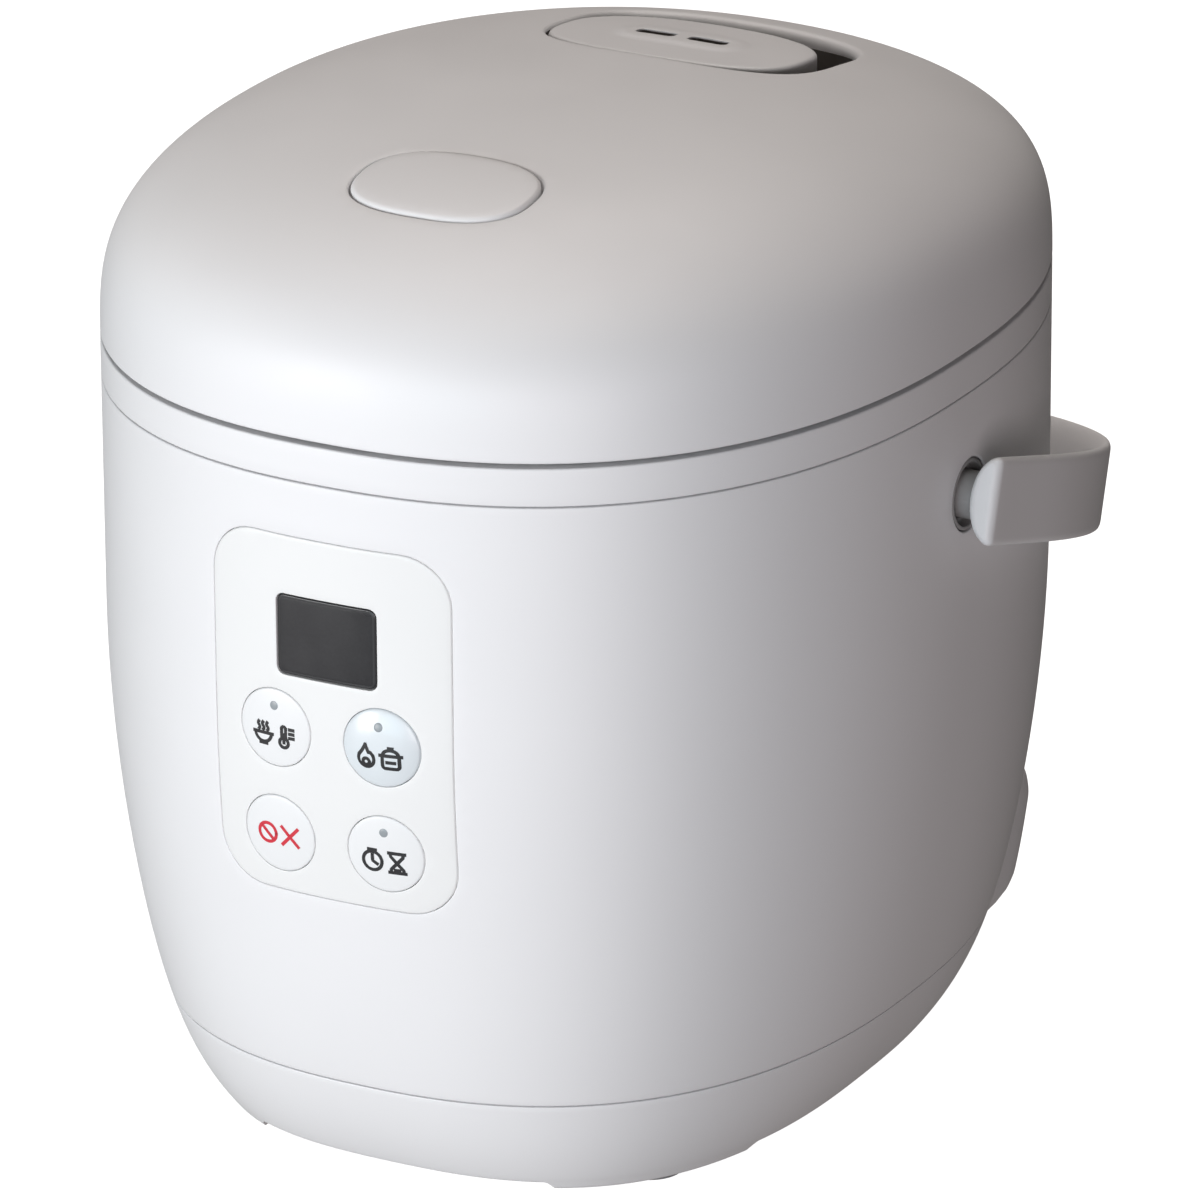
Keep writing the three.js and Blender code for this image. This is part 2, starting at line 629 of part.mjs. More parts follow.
// A layer of the body's front wall between two depths, inside an outline.
function frontLayer(shape, outer, inner) {
  const layer = cut(bodyForm(outer, [50, 150], 4), bodyForm(inner, [49, 151], 4));
  return prismY(shape, [-120, -90]).intersect(layer);
}

function frontPanel() {
  const plate = frontLayer(
    roundedRectangle(PANEL_WIDTH, PANEL_HEIGHT, PANEL_CORNER, PANEL_CENTRE_Z), 0, PANEL_THICKNESS);
  const window = prismY(
    roundedRectangle(DISPLAY_WIDTH + 0.6, DISPLAY_HEIGHT + 0.6, 1.8, DISPLAY_CENTRE_Z),
    [-120, -80]);
  const holes = LABELLED_BUTTONS.map(({ x, z }) => cylinderY(
    BUTTON_RADIUS + BUTTON_GAP, [-120, -80], x, z));
  return cut(plate, window, ...holes);
}

const displayLens = () => frontLayer(
  roundedRectangle(DISPLAY_WIDTH, DISPLAY_HEIGHT, 1.5, DISPLAY_CENTRE_Z), 0.1, 1.7);

const displayModule = () => box(
  [-14, 14], [-101.4, BOARD_Y - 3.4], [DISPLAY_CENTRE_Z - 10, DISPLAY_CENTRE_Z + 10]);

// A button about its own axis: cap towards -Y, stem towards +Y, cap's face at y = 0.
function pressButton({ lit, dome }, stem) {
  const radius = BUTTON_RADIUS;
  const cap = turned(
    [[0, -stem], [2, -stem], [2, -3], [radius - 1.4, -3], [radius - 1.4, -2.2], [radius, -2.2],
      [radius, -0.4], [radius - 0.5, 0], [radius * 0.5, dome * 0.8], [0, dome]], 0, 0, 20);
  const upright = cap.rotate([90, 0, 0]);
  if (!lit) return upright;
  return cut(upright, cylinderY(LED_RADIUS + LED_GAP, [-4, 4], 0, LED_RISE, 12));
}

const ledWindow = ({ dome }) => cylinderY(LED_RADIUS, [-dome * 0.75, 2.8], 0, LED_RISE, 12);

// The control board with a soldered push switch behind each button.
function controlBoard() {
  const board = box([-24, 24], [BOARD_Y, BOARD_Y + 1.6], [71, 135]);
  const switches = LABELLED_BUTTONS.flatMap(({ x, z }) => [
    box([x - 3, x + 3], [BOARD_Y - 1.8, BOARD_Y + 0.5], [z - 3, z + 3]),
    cylinderY(1.6, [BOARD_Y - 2.2, BOARD_Y - 1], x, z, 12)]);
  return join(board, ...switches);
}

// ---------------------------------------------------------------- power

function inletHousing() {
  const block = box([INLET_X - 20, INLET_X + 20], [60, 125], [7, 43]);
  const hugging = block.intersect(bodyForm(-INLET_DEPTH, [5, 46], 6));
  const slope = box([0, 100], [0, 60], [0, 30]).rotate([-40, 0, 0]).translate([0, 80.5, 44]);
  const tub = box(
    [INLET_X - INLET_TUB_HALF_WIDTH, INLET_X + INLET_TUB_HALF_WIDTH], [INLET_TUB_BACK, 97],
    [INLET_Z - INLET_TUB_HALF_HEIGHT, INLET_Z + INLET_TUB_HALF_HEIGHT]);
  const recess = box(
    [INLET_X - 11, INLET_X + 11], [INLET_TUB_BACK + 2, 130], [INLET_Z - 7, INLET_Z + 7]);
  const body = cut(hugging, bodyForm(-GAP, [4, 48], 8), slope);
  return cut(join(body, tub), recess);
}

function inletSocket() {
  const outer = box(
    [INLET_X - 10.7, INLET_X + 10.7], [INLET_TUB_BACK + 2.3, 130], [INLET_Z - 6.7, INLET_Z + 6.7]);
  const room = box(
    [INLET_X - 9, INLET_X + 9], [INLET_TUB_BACK + 4.3, 130], [INLET_Z - 5.2, INLET_Z + 5.2]);
  const shaped = cut(outer, room).intersect(bodyForm(0.6 - INLET_DEPTH, [5, 46], 6));
  const pinHoles = INLET_PINS.map((x) => cylinderY(1.9, [80, 88], x, INLET_Z, 12));
  return cut(shaped, ...pinHoles);
}

const INLET_PINS = [INLET_X - 5.5, INLET_X + 5.5];
const inletPin = (x) => cylinderY(1.5, [INLET_TUB_BACK + 2.4, 96.5], x, INLET_Z, 12);

const powerBoard = () => cut(
  box([-33, 33], [-39, 39], [14, 15.6]),
  ...BOARD_POSTS.map(([x, y]) => cylinderZ(1.7, [13, 17], x, y, 12)));
const transformer = () => box([-26, -4], [-26, -2], [15.9, 36]);
const powerRelay = () => box([6, 26], [-20, -4], [15.9, 31]);
const capacitor = () => cylinderZ(6, [15.9, 38], 14, 18);

// ---------------------------------------------------------------- bail and small hardware

// Points of one side of the bail's plan, from the right arm's end to the left one's.
function bailPlan(halfWidth, depth, power) {
  const bow = planRing(halfWidth, depth - BAIL_STRAIGHT, power, 0, BAIL_STRAIGHT, 72).slice(0, 37);
  const arms = [1, -1].map((side) => new THREE.Vector3(side * halfWidth, -BAIL_END, 0));
  return [arms[0], ...bow, arms[1]];
}

// The bail's bar is flat outside and half an ellipse inside.
function bailBow() {
  const half = BAIL_HEIGHT / 2;
  const section = [[1, -half], [1, half]];
  for (let i = 1; i < 10; i += 1) {
    const turn = (i / 10) * Math.PI;
    section.push([1 - Math.sin(turn), half * Math.cos(turn)]);
  }
  const inner = bailPlan(BAIL_INNER_WIDTH, BAIL_INNER_DEPTH, BAIL_INNER_POWER);
  const outer = bailPlan(
    BAIL_INNER_WIDTH + ARM_THICKNESS, BAIL_INNER_DEPTH + CROSSBAR_THICKNESS, BAIL_OUTER_POWER);
  return loft(inner.map((near, i) => section.map(([share, height]) => near.clone()
    .lerp(outer[i], share).setZ(height))));
}

const sided = (side, from, to) => (side < 0 ? [-to, -from] : [from, to]);

function carryHandle() {
  const stubEnd = BAIL_INNER_WIDTH + 3;
  const stubs = [-1, 1].map((side) => cylinderX(
    STUB_RADIUS, sided(side, STUB_INNER_END, stubEnd), 0, 0));
  const bores = [-1, 1].map((side) => cylinderX(
    SCREW_BORE, sided(side, STUB_INNER_END - 1, STUB_INNER_END + 9), 0, 0, 12));
  return cut(join(bailBow(), ...stubs), ...bores);
}

const handleBushing = (side) => cut(
  join(
    cylinderX(BUSHING_RADIUS, sided(side, 83, HALF_WIDTH), 0, PIVOT_Z),
    cylinderX(BUSHING_FLANGE, sided(side, 81.7, 83.9), 0, PIVOT_Z)),
  cylinderX(STUB_RADIUS + GAP, [-100, 100], 0, PIVOT_Z));

const handleScrew = (side) => join(
  cylinderX(7.2, sided(side, 78.2, 79.7), 0, 0),
  cylinderX(1.9, sided(side, STUB_INNER_END - 1, STUB_INNER_END + 8.6), 0, 0, 12));

const baseScrew = ([x, y]) => join(
  cylinderZ(3.6, [2.9, 4.9], x, y, 16), cylinderZ(1.6, [4, 36], x, y, 12));

const hingePin = () => cylinderX(HINGE_PIN, [-33, 33], HINGE_Y, HINGE_Z, 14);
const latchPin = () => cylinderX(LATCH_PIN, [-8.4, 8.4], LATCH_Y, LATCH_Z, 12);
const footPad = ([x, y]) => cylinderZ(PAD_RADIUS, [0, PAD_HEIGHT], x, y);

// ---------------------------------------------------------------- assembly

const finish = {
  white: { color: 0xebebee, roughness: 0.55, metalness: 0 },
  whiteInner: { color: 0xdcdcdc, roughness: 0.6, metalness: 0 },
  panel: { color: 0xf2f3f4, roughness: 0.4, metalness: 0 },
  display: { color: 0x3c3c3e, roughness: 0.25, metalness: 0 },
  cook: { color: 0xd5dee2, roughness: 0.35, metalness: 0 },
  window: { color: 0xb4bcc0, roughness: 0.3, metalness: 0 },
  dark: { color: 0x2a2a2c, roughness: 0.5, metalness: 0 },
  board: { color: 0x2f5a3a, roughness: 0.6, metalness: 0 },
  pot: { color: 0x77787a, roughness: 0.35, metalness: 0.8 },
  steel: { color: 0xb9bcc0, roughness: 0.35, metalness: 0.9 },
  aluminium: { color: 0xa9abad, roughness: 0.45, metalness: 0.8 },
  silicone: { color: 0xcfd2d3, roughness: 0.7, metalness: 0 },
  rubber: { color: 0x8d8f90, roughness: 0.85, metalness: 0 },
};

function piece(name, manifold, look) {
  const mesh = new THREE.Mesh(geometryOf(manifold), new THREE.MeshStandardMaterial(finish[look]));
  mesh.name = name;
  return mesh;
}

// A coil placed with its foot at a point, rising along Z or lying along X.
function spring(name, [radius, wire, turns, length], place, lying = false) {
  const mesh = piece(name, coil(radius, wire, turns, length), 'steel');
  mesh.position.set(...place);
  if (lying) mesh.rotation.y = Math.PI / 2;
  return mesh;
}

function buildLid() {
  const lid = new THREE.Group();
  lid.add(
    piece('lid_shell', lidShell(), 'white'),
    piece('lid_liner', lidLiner(), 'whiteInner'),
    piece('inner_lid', innerLid(), 'steel'),
    piece('lid_gasket', lidGasket(), 'silicone'),
    piece('steam_duct', steamDuct(), 'silicone'),
    piece('steam_cap', steamCap(), 'white'),
    piece('steam_cap_cup', steamCapCup(), 'whiteInner'),
    piece('steam_cap_seal', steamCapSeal(), 'silicone'),
    piece('lid_button', lidButton(), 'white'),
    piece('lid_latch', lidLatch(), 'whiteInner'),
    piece('latch_pin', latchPin(), 'steel'),
    spring('lid_button_spring', [5, 0.8, 4, 11], [0, LID_BUTTON_Y, 178.3]),
    spring('latch_spring', [2.6, 0.6, 3, 3.4], [8.9, LATCH_Y, LATCH_Z], true));
  return lid;
}

function buildFront() {
  const front = new THREE.Group();
  front.add(
    piece('front_panel', frontPanel(), 'panel'),
    piece('display_lens', displayLens(), 'display'),
    piece('display_module', displayModule(), 'dark'),
    piece('control_board', controlBoard(), 'board'));
  for (const button of LABELLED_BUTTONS) {
    const group = new THREE.Group();
    const face = HALF_DEPTH * (1 - (BUTTON_X / HALF_WIDTH) ** PLAN_POWER) ** (1 / PLAN_POWER);
    const faceY = -face + inset(button.z);
    group.position.set(button.x, faceY, button.z);
    group.add(piece(button.name, pressButton(button, STEM_END - faceY), button.dome > 1 ? 'cook' : 'panel'));
    const shortName = button.name.replace('button_', '');
    if (button.lit) group.add(piece(`led_window_${shortName}`, ledWindow(button), 'window'));
    front.add(group);
  }
  return front;
}

function buildBody() {
  const body = new THREE.Group();
  body.add(
    piece('body_shell', bodyShell(), 'white'),
    piece('upper_frame', upperFrame(), 'white'),
    piece('base', base(), 'white'),
    piece('hinge_pin', hingePin(), 'steel'),
    piece('inner_case', innerCase(), 'steel'),
    piece('heater_plate', heaterPlate(), 'aluminium'),
    piece('heater_element', heaterElement(), 'dark'),
    piece('sensor_cap', sensorCap(), 'aluminium'),
    piece('sensor_tray', sensorTray(), 'steel'),
    piece('thermal_fuse', thermalFuse(), 'silicone'),
    spring('sensor_spring', [6.5, 0.8, 4, 14.2], [0, POT_Y, 48.1]),
    spring('hinge_spring', [3.4, 0.9, 5, 6], [26.6, HINGE_Y, HINGE_Z], true));
  PAD_PLACES.forEach((place, i) => body.add(piece(`foot_pad_${i + 1}`, footPad(place), 'rubber')));
  SCREW_POSTS.forEach((place, i) => body.add(piece(`base_screw_${i + 1}`, baseScrew(place), 'steel')));
  return body;
}

function buildPower() {
  const power = new THREE.Group();
  power.add(
    piece('inlet_housing', inletHousing(), 'white'),
    piece('inlet_socket', inletSocket(), 'dark'),
    piece('power_board', powerBoard(), 'board'),
    piece('transformer', transformer(), 'dark'),
    piece('power_relay', powerRelay(), 'dark'),
    piece('capacitor', capacitor(), 'dark'));
  INLET_PINS.forEach((x, i) => power.add(piece(`inlet_pin_${i + 1}`, inletPin(x), 'steel')));
  return power;
}

function buildBail() {
  const bail = new THREE.Group();
  bail.position.set(0, 0, PIVOT_Z);
  const swung = piece('carry_handle', carryHandle(), 'white');
  swung.rotation.x = THREE.MathUtils.degToRad(-BAIL_TILT);
  bail.add(
    swung,
    piece('handle_screw_left', handleScrew(-1), 'steel'),
    piece('handle_screw_right', handleScrew(1), 'steel'));
  return bail;
}

const cooker = new THREE.Group();
cooker.add(
  buildBody(), buildLid(), buildFront(), buildPower(), buildBail(),
  piece('inner_pot', innerPot(), 'pot'),
  piece('handle_bushing_left', handleBushing(-1), 'whiteInner'),
  piece('handle_bushing_right', handleBushing(1), 'whiteInner'));

// The origin is under the middle of the footprint.
cooker.updateMatrixWorld(true);
const footprint = new THREE.Box3().setFromObject(cooker, true);
cooker.position.y = -(footprint.min.y + footprint.max.y) / 2;
cooker.updateMatrixWorld(true);

export default cooker;
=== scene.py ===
"""Looks of a small rice cooker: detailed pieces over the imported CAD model.

Shapes are worked out in millimetres with y = 0 on the body's middle, and become metres in the
row frame when a mesh is made. Front is -Y, and the lid's hinge is at +Y.
"""

import json
import math

import bmesh
import bpy
import numpy as np
from mathutils import Matrix, Vector
from mathutils.geometry import delaunay_2d_cdt


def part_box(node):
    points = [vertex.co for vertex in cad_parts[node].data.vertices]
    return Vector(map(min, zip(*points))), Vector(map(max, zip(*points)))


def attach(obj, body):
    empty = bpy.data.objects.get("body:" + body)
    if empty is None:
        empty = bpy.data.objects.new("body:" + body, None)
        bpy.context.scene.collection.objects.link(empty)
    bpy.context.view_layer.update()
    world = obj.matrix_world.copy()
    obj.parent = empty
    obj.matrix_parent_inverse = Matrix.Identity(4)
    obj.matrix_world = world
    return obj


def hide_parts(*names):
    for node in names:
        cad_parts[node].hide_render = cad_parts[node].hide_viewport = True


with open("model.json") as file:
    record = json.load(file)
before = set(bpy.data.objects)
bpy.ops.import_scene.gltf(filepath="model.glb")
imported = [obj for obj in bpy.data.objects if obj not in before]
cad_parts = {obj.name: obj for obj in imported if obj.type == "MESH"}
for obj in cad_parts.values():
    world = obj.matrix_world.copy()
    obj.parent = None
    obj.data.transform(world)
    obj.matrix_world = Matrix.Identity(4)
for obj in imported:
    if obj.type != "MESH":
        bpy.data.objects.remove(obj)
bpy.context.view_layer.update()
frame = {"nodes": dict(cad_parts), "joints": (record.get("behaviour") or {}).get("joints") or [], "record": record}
JOINTS = {joint["name"]: joint for joint in frame["joints"]}
MIDDLE_Y = JOINTS["handle_swing"]["pos_m"][1]


def box_mm(node):
    """A CAD node's low and high corners in millimetres, in the body's own frame."""
    low, high = (np.array(corner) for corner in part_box(node))
    return (low - (0, MIDDLE_Y, 0)) * 1000, (high - (0, MIDDLE_Y, 0)) * 1000


# ------------------------------------------------------------------ driving dimensions

HALF_WIDTH = box_mm("body_shell")[1][0]
HALF_DEPTH = box_mm("body_shell")[1][1]
BODY_LOW, BODY_HIGH = box_mm("body_shell")[0][2], box_mm("body_shell")[1][2]
BASE_HIGH = 23.8
FRAME_LOW, DECK = 154.0, box_mm("upper_frame")[1][2]
SEAM = 162.0
LID_RIM = box_mm("lid_shell")[0][2]
DOME_RISE = 41.7
TAPER_START = 107.1
WALL = 2.5
FINE_EDGE = 0.3
AROUND = 288
CREASE = math.radians(38)  # edges steeper than this are sharp
PLAN_POWER, FOOT_POWER = 2.31, 0.39
CURVE_IN, CURVE_UNDER = 16.4, 9.0
DOME_FALL_X, DOME_FALL_Y = (3.6, 0.38), (3.82, 0.532)
DOME_ROUNDER = 0.31

PANEL = dict(width=52.2, height=75.0, corner=10.0, centre=(0, 104.6))
PANEL_GAP = 0.3
PANEL_REACH = 0.2  # the panel reaches this far into that gap
DISPLAY = dict(width=21.8, height=16.4, corner=1.5, centre=(0, 121.8))
DISPLAY_GAP = 0.25
BUTTON_RADIUS = 8.1
BUTTON_GAP = 0.12
BUTTONS = {
    "keep_warm": dict(x=-11.8, z=101.8, dome=0.35, lit=True),
    "cook": dict(x=11.8, z=101.8, dome=1.3, lit=True),
    "cancel": dict(x=-11.8, z=79.2, dome=0.35, lit=False),
    "timer": dict(x=11.8, z=79.2, dome=0.35, lit=True),
}
LED_RISE, LED_RADIUS = 4.7, 0.95

LID_BUTTON = dict(half_width=19.0, half_depth=13.2, power=2.5, y=-55.1)
LID_BUTTON_GAP = 0.4
VENT = dict(half_width=27.6, half_depth=17.4, power=2.8, y=44.0)
WELL = dict(half_width=30.6, half_depth=21.25, power=3.3, x=2.4, y=47.25)
WELL_LIP_FRONT, WELL_LIP_REAR = 0.5, 3.0
WELL_FLOOR = 189.0
VENT_DROP = 0.2

POT_Y = 4.0
POT_RADIUS, POT_RIM, POT_BOTTOM = 64.5, 159.7, 66.0
POT_FLANGE = 71.5
DECK_WELL, POT_LEDGE = 73.5, 67.5

HINGE_Y = JOINTS["lid_hinge"]["pos_m"][1] * 1000 - MIDDLE_Y * 1000
HINGE_Z = JOINTS["lid_hinge"]["pos_m"][2] * 1000
HINGE_BARREL = 5.8
NOTCH_HALF_WIDTH, NOTCH_RADIUS = 34.5, 11.6

PIVOT_Z = JOINTS["handle_swing"]["pos_m"][2] * 1000
BAIL_TILT = math.radians(17)
BAIL_INNER = dict(half_width=90.0, depth=115.4, power=2.35)
BAIL_OUTER = dict(half_width=96.2, depth=120.2, power=2.2)
BAIL_STRAIGHT, BAIL_END = 15.0, 8.0
BAIL_HEIGHT, BAIL_EDGE = 18.2, 2.0
STUB_RADIUS = 4.9
PIVOT_HOLE, PIVOT_LIP, BUSHING_RADIUS = 7.6, 0.4, 7.3

INLET = dict(x=39.0, z=24.0)
FOOT_X, FOOT_FRONT, FOOT_REAR = 33.0, -41.0, 24.0
FLOOR_LIFT = 2.6


# ------------------------------------------------------------------ mesh tools

class Skin:
    """Points and faces in millimetres, gathered into one mesh."""

    def __init__(self):
        self.points = []
        self.faces = []

    def add(self, points, faces):
        start = len(self.points)
        self.points.extend(tuple(point) for point in points)
        self.faces.extend([start + corner for corner in face] for face in faces)

    def strip(self, rings, closed=True):
        """Joins rings of equally many points, each to the next."""
        count = len(rings[0])
        sides = count if closed else count - 1
        faces = []
        for level in range(len(rings) - 1):
            for i in range(sides):
                j = (i + 1) % count
                low, high = level * count, (level + 1) * count
                faces.append((low + i, low + j, high + j, high + i))
        self.add(np.concatenate(rings), faces)

    def cap(self, ring):
        """Closes a ring with triangles from its middle."""
        count = len(ring)
        points = np.vstack([ring, np.mean(ring, axis=0)])
        self.add(points, [(i, (i + 1) % count, count) for i in range(count)])

    def patch(self, outline, holes, step, lift):
        """Fills a flat outline round its holes, on a surface given by lift(u, v)."""
        flat, triangles = filled(outline, holes, step)
        self.add(lift(flat[:, 0], flat[:, 1]), triangles)

    def floor(self, outline, holes, step, z):
        """Fills a flat outline at one height."""
        self.patch(outline, holes, step, lambda x, y: level(np.column_stack([x, y]), z))


def placed(name, data):
    """A new object in the scene."""
    made = bpy.data.objects.new(name, data)
    bpy.context.scene.collection.objects.link(made)
    return made


def piece(skin, name, body, slot, stands_for=(), paint=None):
    """Makes the skin a named piece that rides on a CAD body, in its slot's paint or another."""
    mesh = bpy.data.meshes.new(name)
    points = np.array(skin.points) / 1000 + (0, MIDDLE_Y, 0)
    mesh.from_pydata(points.tolist(), [], skin.faces)
    work = bmesh.new()
    work.from_mesh(mesh)
    bmesh.ops.remove_doubles(work, verts=work.verts, dist=2e-6)
    bmesh.ops.recalc_face_normals(work, faces=work.faces)
    work.to_mesh(mesh)
    work.free()
    mesh.polygons.foreach_set("use_smooth", [True] * len(mesh.polygons))
    mesh.set_sharp_from_angle(angle=CREASE)
    mesh.materials.append(PAINTS[paint or SLOT_PAINT[slot]])
    made = placed(name, mesh)
    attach(made, body)
    if stands_for:
        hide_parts(*stands_for)
    return made


def inside(points, loop):
    """Which points lie inside a closed flat loop."""
    x, y = points[:, :1], points[:, 1:2]
    ax, ay = loop[:, 0], loop[:, 1]
    bx, by = np.roll(ax, -1), np.roll(ay, -1)
    crossing = (ay > y) != (by > y)
    slope = (bx - ax) / np.where(by == ay, 1, by - ay)
    return (crossing & (x < ax + (y - ay) * slope)).sum(axis=1) % 2 == 1


def filled(outline, holes=(), step=2.0):
    """Evenly spread points and triangles inside a flat outline and outside its holes."""
    loops = [np.asarray(loop, float) for loop in (outline, *holes)]
    low, high = loops[0].min(axis=0), loops[0].max(axis=0)
    rows = np.arange(low[1] + step / 2, high[1], step * 0.866)
    grid = np.array([
        (x + (k % 2) * step / 2, y)
        for k, y in enumerate(rows) for x in np.arange(low[0] + step / 3, high[0], step)])
    keep = inside(grid, loops[0])
    for hole in loops[1:]:
        keep &= ~inside(grid, hole)
    grid = grid[keep]
    edge = np.concatenate(loops)
    clear = np.ones(len(grid), bool)
    for point in edge:
        clear &= np.hypot(*(grid - point).T) > 0.5 * step
    edges = []
    start = 0
    for loop in loops:
        edges += [(start + i, start + (i + 1) % len(loop)) for i in range(len(loop))]
        start += len(loop)
    points = [Vector(point) for point in np.concatenate([edge, grid[clear]])]
    flat, _, triangles, *_ = delaunay_2d_cdt(points, edges, [], 0, 1e-7)
    flat, triangles = np.array(flat), np.array(triangles)
    middles = flat[triangles].mean(axis=1)
    keep = inside(middles, loops[0])
    for hole in loops[1:]:
        keep &= ~inside(middles, hole)
    return flat, triangles[keep]


def level(flat, z):
    """Flat (x, y) points, or plan angles, at one height."""
    return np.column_stack([flat, np.full(len(flat), float(z))])


def quarter(radius, count):
    """(out, down) pairs over a rounded edge."""
    turns = np.linspace(0, math.pi / 2, count)
    return [(radius * (1 - math.sin(turn)), radius * (1 - math.cos(turn))) for turn in turns]


def rounded_edge(radius, depth, steps=4):
    """(out, down) pairs from a surface over a rounded edge and down a wall."""
    return [*quarter(radius, steps + 1), (0, depth)]


def walled(top, outline, edge):
    """Rings that follow top(x, y) round outline(out), over an edge and down a wall."""
    rows = []
    for out, down in edge:
        points = top(*outline(out).T)
        points[:, 2] -= down
        rows.append(points)
    return rows


def power_of(value, exponent):
    """A signed power."""
    return np.sign(value) * np.abs(value) ** exponent


def oval(half_width, half_depth, power, y=0.0, x=0.0, count=160):
    """A superellipse outline."""
    turn = np.linspace(0, 2 * math.pi, count, endpoint=False)
    return np.column_stack([
        x + half_width * power_of(np.cos(turn), 2 / power),
        y + half_depth * power_of(np.sin(turn), 2 / power)])


def circle(radius, centre, count=64):
    return oval(radius, radius, 2, centre[1], centre[0], count)


def rectangle(width, height, corner, centre, grow=0.0, sides=20, arcs=10):
    """A rectangle with round corners. Any grow gives equally many points."""
    corner = max(corner + grow, 0.01)
    reach = np.array([width / 2 + grow - corner, height / 2 + grow - corner])
    points = []
    for quarter, (sx, sy) in enumerate([(1, -1), (1, 1), (-1, 1), (-1, -1)]):
        turns = np.linspace(quarter - 1, quarter, arcs) * math.pi / 2
        arc = [reach * (sx, sy) + corner * np.array([math.cos(t), math.sin(t)]) for t in turns]
        nx, ny = [(1, 1), (-1, 1), (-1, -1), (1, -1)][quarter]
        goal = reach * (nx, ny) + corner * np.array([math.cos(turns[-1]), math.sin(turns[-1])])
        between = [arc[-1] + (goal - arc[-1]) * k / sides for k in range(1, sides)]
        points += arc + between
    return np.array(points) + centre


def turned(profile, y=POT_Y, x=0.0, count=160):
    """Rings of a solid of revolution about Z from (radius, height) pairs."""
    turn = np.linspace(0, 2 * math.pi, count, endpoint=False)
    return [np.column_stack([
        x + radius * np.cos(turn), y + radius * np.sin(turn), np.full(count, float(height))])
        for radius, height in profile]


def turned_x(profile, y, z, count=72):
    """Rings of a solid of revolution about X from (radius, x) pairs."""
    turn = np.linspace(0, 2 * math.pi, count, endpoint=False)
    return [np.column_stack([
        np.full(count, float(x)), y + radius * np.cos(turn), z + radius * np.sin(turn)])
        for radius, x in profile]


def softened(profile, radius, steps=4):
    """Rounds each inner corner of an open (a, b) profile."""
    points = [np.array(point, float) for point in profile]
    result = [points[0]]
    for before, corner, after in zip(points, points[1:], points[2:]):
        back, ahead = before - corner, after - corner
        reach = min(radius, np.linalg.norm(back) * 0.45, np.linalg.norm(ahead) * 0.45)
        start = corner + back / np.linalg.norm(back) * reach
        end = corner + ahead / np.linalg.norm(ahead) * reach
        for k in range(steps + 1):
            t = k / steps
            result.append((1 - t) ** 2 * start + 2 * t * (1 - t) * corner + t * t * end)
    result.append(points[-1])
    return result


# ------------------------------------------------------------------ the body's outer form

def plan_at(z, drawn=0.0):
    """Half-width, half-depth and power of the body's plan at a height."""
    fall = np.clip((TAPER_START - z) / TAPER_START, 0, None)
    inset = CURVE_IN * fall ** 2 + CURVE_UNDER * fall ** 8 + drawn
    return HALF_WIDTH - inset, HALF_DEPTH - inset, PLAN_POWER + FOOT_POWER * fall ** 6


def body_points(turn, z, drawn=0.0):
    width, depth, power = plan_at(z, drawn)
    x = width * power_of(np.cos(turn), 2 / power)
    y = depth * power_of(np.sin(turn), 2 / power)
    return np.column_stack([x, y, z + 0 * x])


def front_y(x, z, drawn=0.0):
    """y of the body's front at a place, drawn in towards the middle."""
    width, depth, power = plan_at(z, drawn)
    return -depth * (1 - np.abs(x / width) ** power) ** (1 / power)


def side_x(y, z, drawn=0.0):
    width, depth, power = plan_at(z, drawn)
    return width * (1 - np.abs(y / depth) ** power) ** (1 / power)


def turn_at_x(x, z, rear=False):
    """The plan angle at which the body's front or rear has this x."""
    width, _, power = plan_at(z)
    turn = np.arccos(np.clip(power_of(x / width, power / 2), -1, 1))
    return turn if rear else -turn


def turn_at_y(y, z, left=False):
    _, depth, power = plan_at(z)
    turn = np.arcsin(np.clip(power_of(y / depth, power / 2), -1, 1))
    return math.pi - turn if left else turn


def dome_plan(t, drawn=0.0):
    """Half-width, half-depth and power of the lid's plan, from t = 0 at the seam to 1 on top."""
    width = (HALF_WIDTH - drawn) * (1 - t ** DOME_FALL_X[0]) ** DOME_FALL_X[1]
    depth = (HALF_DEPTH - drawn) * (1 - t ** DOME_FALL_Y[0]) ** DOME_FALL_Y[1]
    return width, depth, PLAN_POWER - DOME_ROUNDER * t * t


def dome_ring(t, drawn=0.0, count=AROUND):
    """A level ring of the lid's dome."""
    turn = np.linspace(0, 2 * math.pi, count, endpoint=False)
    width, depth, power = dome_plan(t, drawn)
    return np.column_stack([
        width * power_of(np.cos(turn), 2 / power), depth * power_of(np.sin(turn), 2 / power),
        np.full(count, SEAM + (DOME_RISE - drawn) * t)])


def dome_z(x, y):
    """Height of the dome over a place, found by halving."""
    x, y = np.abs(np.asarray(x, float)), np.abs(np.asarray(y, float))
    low, high = np.zeros_like(x), np.full_like(x, 0.999999)
    for _ in range(40):
        t = (low + high) / 2
        width, depth, power = dome_plan(t)
        outside = (x / width) ** power + (y / depth) ** power > 1
        high = np.where(outside, t, high)
        low = np.where(outside, low, t)
    return SEAM + DOME_RISE * low


# ------------------------------------------------------------------ materials

